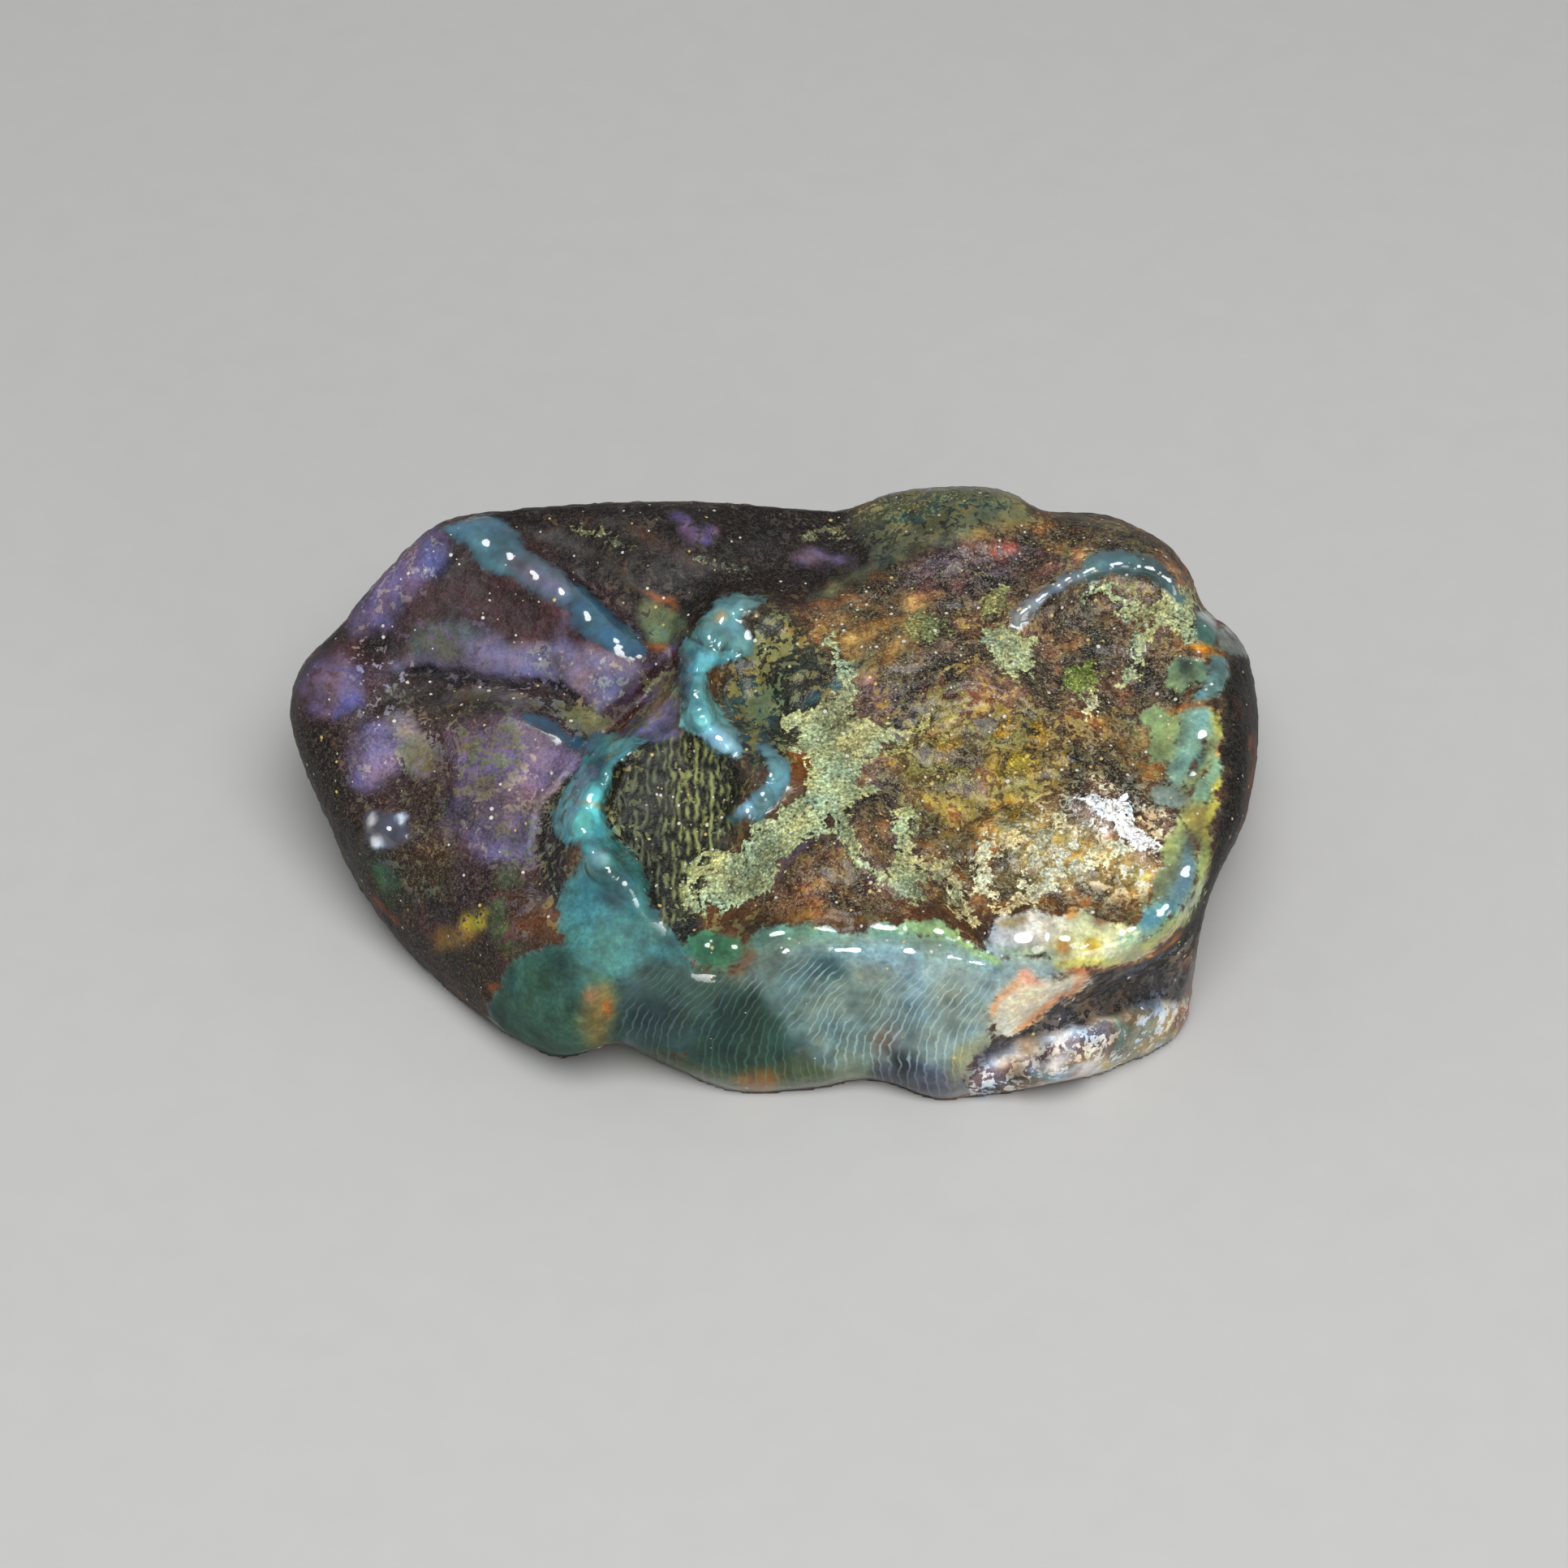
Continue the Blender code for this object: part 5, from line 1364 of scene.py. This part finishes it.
def grained_group():
    """A colour made lighter and darker by a noise."""
    tree, w, given, wanted = new_group(
        "grained colour", {"Colour": "colour", "Noise": "number", "Contrast": "number"}, {"Colour": "colour"},
    )
    gain = w.math("POWER", 2.0, w.times(w.minus(given["Noise"], 0.5), given["Contrast"]))
    w.put(wanted["Colour"], w.blend(1.0, given["Colour"], gain, "MULTIPLY"))
    return tree


def glint_group():
    """Small round specks, one to a cell in some of the cells: their mask and a random number for each."""
    tree, w, given, wanted = new_group(
        "glints", {"Place": "place", "Share": "number"}, {"Mask": "number", "Pick": "number"},
    )
    cell = w.add("ShaderNodeTexVoronoi")
    w.filled(cell, Vector=given["Place"], Scale=1 / GLINT_SPACING)
    split = w.add("ShaderNodeSeparateColor")
    w.put(split.inputs[0], cell.outputs["Color"])
    chosen = w.math("LESS_THAN", split.outputs[0], given["Share"])
    radius = w.plus(w.times(w.math("POWER", split.outputs[1], 2.0), GLINT_GROWTH), GLINT_RADIUS)
    disc = w.step(w.minus(cell.outputs["Distance"], radius), -0.05, 0.05, 1.0, 0.0)
    w.put(wanted["Mask"], w.times(chosen, disc))
    w.put(wanted["Pick"], split.outputs[2])
    return tree


def linear(colour):
    return (*light_values(np.array(colour, float)), 1.0)


PALE_THREAD = linear((0.86, 0.84, 0.72))
# Colours of the sparks and glints, light specks painted into the base colour: painted highlights, the gold
# glints also gold flecks
PALE_SPARK = linear((0.93, 0.88, 0.64))
GOLD_GLINT = linear((0.95, 0.84, 0.52))
WHITE_GLINT = linear((0.97, 0.97, 0.92))


def flecked_colour(w, grained, broad, fine, grit):
    """Under the skin: two colours in each other, with fine pale worm-like threads and broader veins."""
    fleck_colour = w.colour("fleck_colour")
    reach = w.plus(w.plus(broad, w.times(fine, 0.35)), w.times(w.value("fleck_share"), 0.42))
    colour = w.blend(w.step(reach, 0.865, 0.915), w.colour("under_colour"), fleck_colour)
    colour = w.group(grained, Colour=colour, Noise=fine, Contrast=w.times(grit, UNDER_CONTRAST))["Colour"]
    pale_fleck = w.blend(0.35, fleck_colour, PALE_THREAD)
    thread = w.near(fine, 0.53, 0.008, 0.030)
    colour = w.blend(w.times(thread, w.times(grit, 0.46)), colour, pale_fleck)
    broken = w.times(w.near(broad, 0.52, 0.010, 0.034), w.step(fine, 0.38, 0.55, 0.3, 1.0))
    return w.blend(w.times(w.times(broken, w.value("veins")), 0.75), colour, pale_fleck)


def crusted(w, grained, colour, crust, fine, grains, grit):
    """The grainy crust over a colour, and the small pale sparks in and beside it: pale grains, partly painted
    highlights.
    """
    crust_colour = w.colour("crust_colour")
    for pattern, contrast in ((fine, CRUST_CONTRAST), (grains, CRUST_GRAIN_CONTRAST)):
        crust_colour = w.group(grained, Colour=crust_colour, Noise=pattern, Contrast=contrast)["Colour"]
    colour = w.blend(w.times(crust, w.step(fine, 0.30, 0.42, 0.25, 1.0)), colour, crust_colour)
    spark_share = w.plus(w.times(w.minus(grit, 0.4), 0.6), w.times(crust, 0.35))
    return w.blend(w.times(w.step(grains, 0.62, 0.70), spark_share), colour, PALE_SPARK)


def skinned(w, grained, colour, skin, broad, fine):
    """The smooth skin over a colour, more grained on the rims."""
    plain = w.group(grained, Colour=w.colour("skin_colour"), Noise=broad, Contrast=SKIN_CONTRAST)["Colour"]
    rim = w.group(grained, Colour=plain, Noise=fine, Contrast=RIM_CONTRAST)["Colour"]
    return w.blend(skin, colour, w.blend(w.value("rim"), plain, rim))


def line_mask(w, broad, fine):
    """Where the fine parallel lines are."""
    phase = w.plus(w.value("line_phase"), w.times(w.minus(broad, 0.5), 0.5))
    width = w.times(w.plus(0.08, w.times(fine, 0.26)), w.value("line_width"))
    return w.times(w.step(w.math("PINGPONG", phase, 0.5), 0.0, width, 1.0, 0.0), w.value("line_share"))


def bumped(w, broad, fine, grit, off_skin, rises):
    """The surface with its finest relief. Rises are masks, and how many millimetres each stands up."""
    grain = w.plus(w.times(w.times(fine, 0.13), grit), w.times(w.times(broad, 0.19), w.plus(grit, 0.15)))
    height = w.times(grain, w.plus(0.08, w.times(off_skin, 0.92)))
    for mask, rise in rises:
        height = w.plus(height, w.times(mask, rise))
    return w.filled(w.add("ShaderNodeBump"), Strength=1.0, Distance=MM, Height=height).outputs[0]


def amber_material():
    ragged, grained, glints = ragged_edge_group(), grained_group(), glint_group()
    material = bpy.data.materials.new("amber")
    material.use_nodes = True
    tree = material.node_tree
    w = Wiring(tree)

    place = w.scaled(w.add("ShaderNodeTexCoord").outputs["Object"], 1 / MM)
    broad = w.noise(place, BROAD_GRAIN, 2.0, 0.6, 0.5)
    fine = w.noise(w.moved(place, (11, 5, 2)), FINE_GRAIN, 2.0, 0.65)
    grains = w.noise(w.moved(place, (6, 1, 8)), CRUST_GRAIN, 1.0, 0.6)
    grit, wet = w.value("grit"), w.value("wet")
    crust, skin = (
        w.group(ragged, Depth=w.value(depth), Broad=broad, Fine=fine, Raggedness=raggedness,
                Softness=softness)["Mask"]
        for depth, raggedness, softness in (("crust_depth", 1.25, 0.10), ("skin_depth", 0.55, 0.24)))
    off_skin = w.minus(1.0, skin)
    lines = line_mask(w, broad, fine)
    glint = w.group(glints, Place=place, Share=w.value("glint_share"))

    colour = flecked_colour(w, grained, broad, fine, grit)
    colour = crusted(w, grained, colour, crust, fine, grains, grit)
    colour = skinned(w, grained, colour, skin, broad, fine)
    colour = w.blend(w.times(lines, 0.60), colour, w.colour("line_colour"))
    # Painted highlights: the glints are painted into the base colour as light specks
    glint_colour = w.blend(w.step(glint["Pick"], 0.40, 0.45), GOLD_GLINT, WHITE_GLINT)
    colour = w.blend(w.times(glint["Mask"], 0.85), colour, glint_colour)

    rough = w.plus(w.plus(0.22, w.times(fine, 0.20)), w.times(crust, 0.06))
    rough = w.minus(w.plus(rough, 0.42), w.times(wet, 0.42))
    coat = w.times(w.plus(skin, w.times(off_skin, w.times(grit, 0.10))), wet)
    rises = ((crust, 0.05), (skin, 0.05), (lines, 0.035), (glint["Mask"], 0.02))
    w.filled(
        tree.nodes["Principled BSDF"],
        Base_Color=colour,
        Roughness=w.minus(rough, w.times(skin, 0.10)),
        Normal=bumped(w, broad, fine, grit, off_skin, rises),
        Metallic=0.0,
        IOR=1.54,
        Specular_IOR_Level=0.20,
        Transmission_Weight=0.25,
        Coat_Weight=coat,
        Coat_Roughness=0.06,
        Coat_IOR=1.85,
    )
    inner = w.filled(w.add("ShaderNodeVolumeAbsorption"), Color=(0.90, 0.55, 0.20, 1.0), Density=140.0)
    w.put(tree.nodes["Material Output"].inputs["Volume"], inner.outputs[0])
    return material


def floor_material():
    material = bpy.data.materials.new("pale_floor")
    material.use_nodes = True
    w = Wiring(material.node_tree)
    grain = w.noise(w.add("ShaderNodeTexCoord").outputs["Object"], 0.004, 3.0)
    pale = w.blend(grain, (0.50, 0.50, 0.49, 1), (0.53, 0.53, 0.52, 1))
    w.filled(material.node_tree.nodes["Principled BSDF"], Base_Color=pale, Roughness=0.7)
    return material


# The nugget, the studio and the camera


def build():
    nugget = fine_copy(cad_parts["amber_nugget"])
    divide_seen(nugget)
    stone = surveyed(mesh_points(nugget.data), mesh_normals(nugget.data))
    raise_relief(stone)
    set_points(nugget.data, stone.points)
    write_colours(nugget.data, stone)
    write_finish(nugget.data, stone)
    nugget.data.materials.clear()
    nugget.data.materials.append(amber_material())
    for face in nugget.data.polygons:
        face.use_smooth = True
    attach(nugget, "root")
    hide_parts("amber_nugget")


def soft_light(name, azimuth, rise, distance, size, power):
    """A round lamp that faces the stone. Azimuth 0 is behind the camera, and 90 to its right."""
    lamp = bpy.data.lights.new(name, "AREA")
    lamp.energy = power
    lamp.shape = "DISK"
    lamp.size = size
    turn, lift = math.radians(azimuth), math.radians(rise)
    back = Vector((math.sin(turn) * math.cos(lift), -math.cos(turn) * math.cos(lift), math.sin(lift)))
    stand = bpy.data.objects.new(name, lamp)
    stand.location = Vector(STONE_MIDDLE) * MM + back * distance
    stand.rotation_mode = "QUATERNION"
    stand.rotation_quaternion = back.to_track_quat("Z", "Y")
    bpy.context.scene.collection.objects.link(stand)


def studio():
    bpy.ops.object.select_all(action="DESELECT")
    bpy.ops.mesh.primitive_grid_add(x_subdivisions=8, y_subdivisions=8, size=6.0, location=(0, 0, 0))
    floor = bpy.context.object
    floor.name = "floor"
    floor.data.materials.append(floor_material())
    soft_light("key_light", azimuth=10, rise=62, distance=0.75, size=0.56, power=5.5)
    soft_light("front_light", azimuth=35, rise=12, distance=0.80, size=0.40, power=1.1)
    world = bpy.data.worlds.new("soft_room")
    world.use_nodes = True
    w = Wiring(world.node_tree)
    background = world.node_tree.nodes["Background"]
    ray = w.add("ShaderNodeLightPath").outputs["Is Camera Ray"]
    w.put(background.inputs["Color"], w.blend(ray, (0.29, 0.29, 0.30, 1), (0.60, 0.60, 0.60, 1)))
    bpy.context.scene.world = world
    bpy.context.scene.view_settings.view_transform = "Standard"


def camera():
    data = bpy.data.cameras.new("camera")
    data.sensor_width = 36.0
    data.lens = 36.0 * CAMERA_DISTANCE / (PIXEL * PICTURE_SIZE)
    data.clip_start = 0.01
    stand = bpy.data.objects.new("camera", data)
    back = Vector(TOWARD)
    middle = Matrix.Translation((Vector(STONE_MIDDLE) + back * CAMERA_DISTANCE) * MM)
    stand.matrix_world = middle @ back.to_track_quat("Z", "Y").to_matrix().to_4x4()
    bpy.context.scene.collection.objects.link(stand)
    bpy.context.scene.camera = stand


build()
studio()
camera()
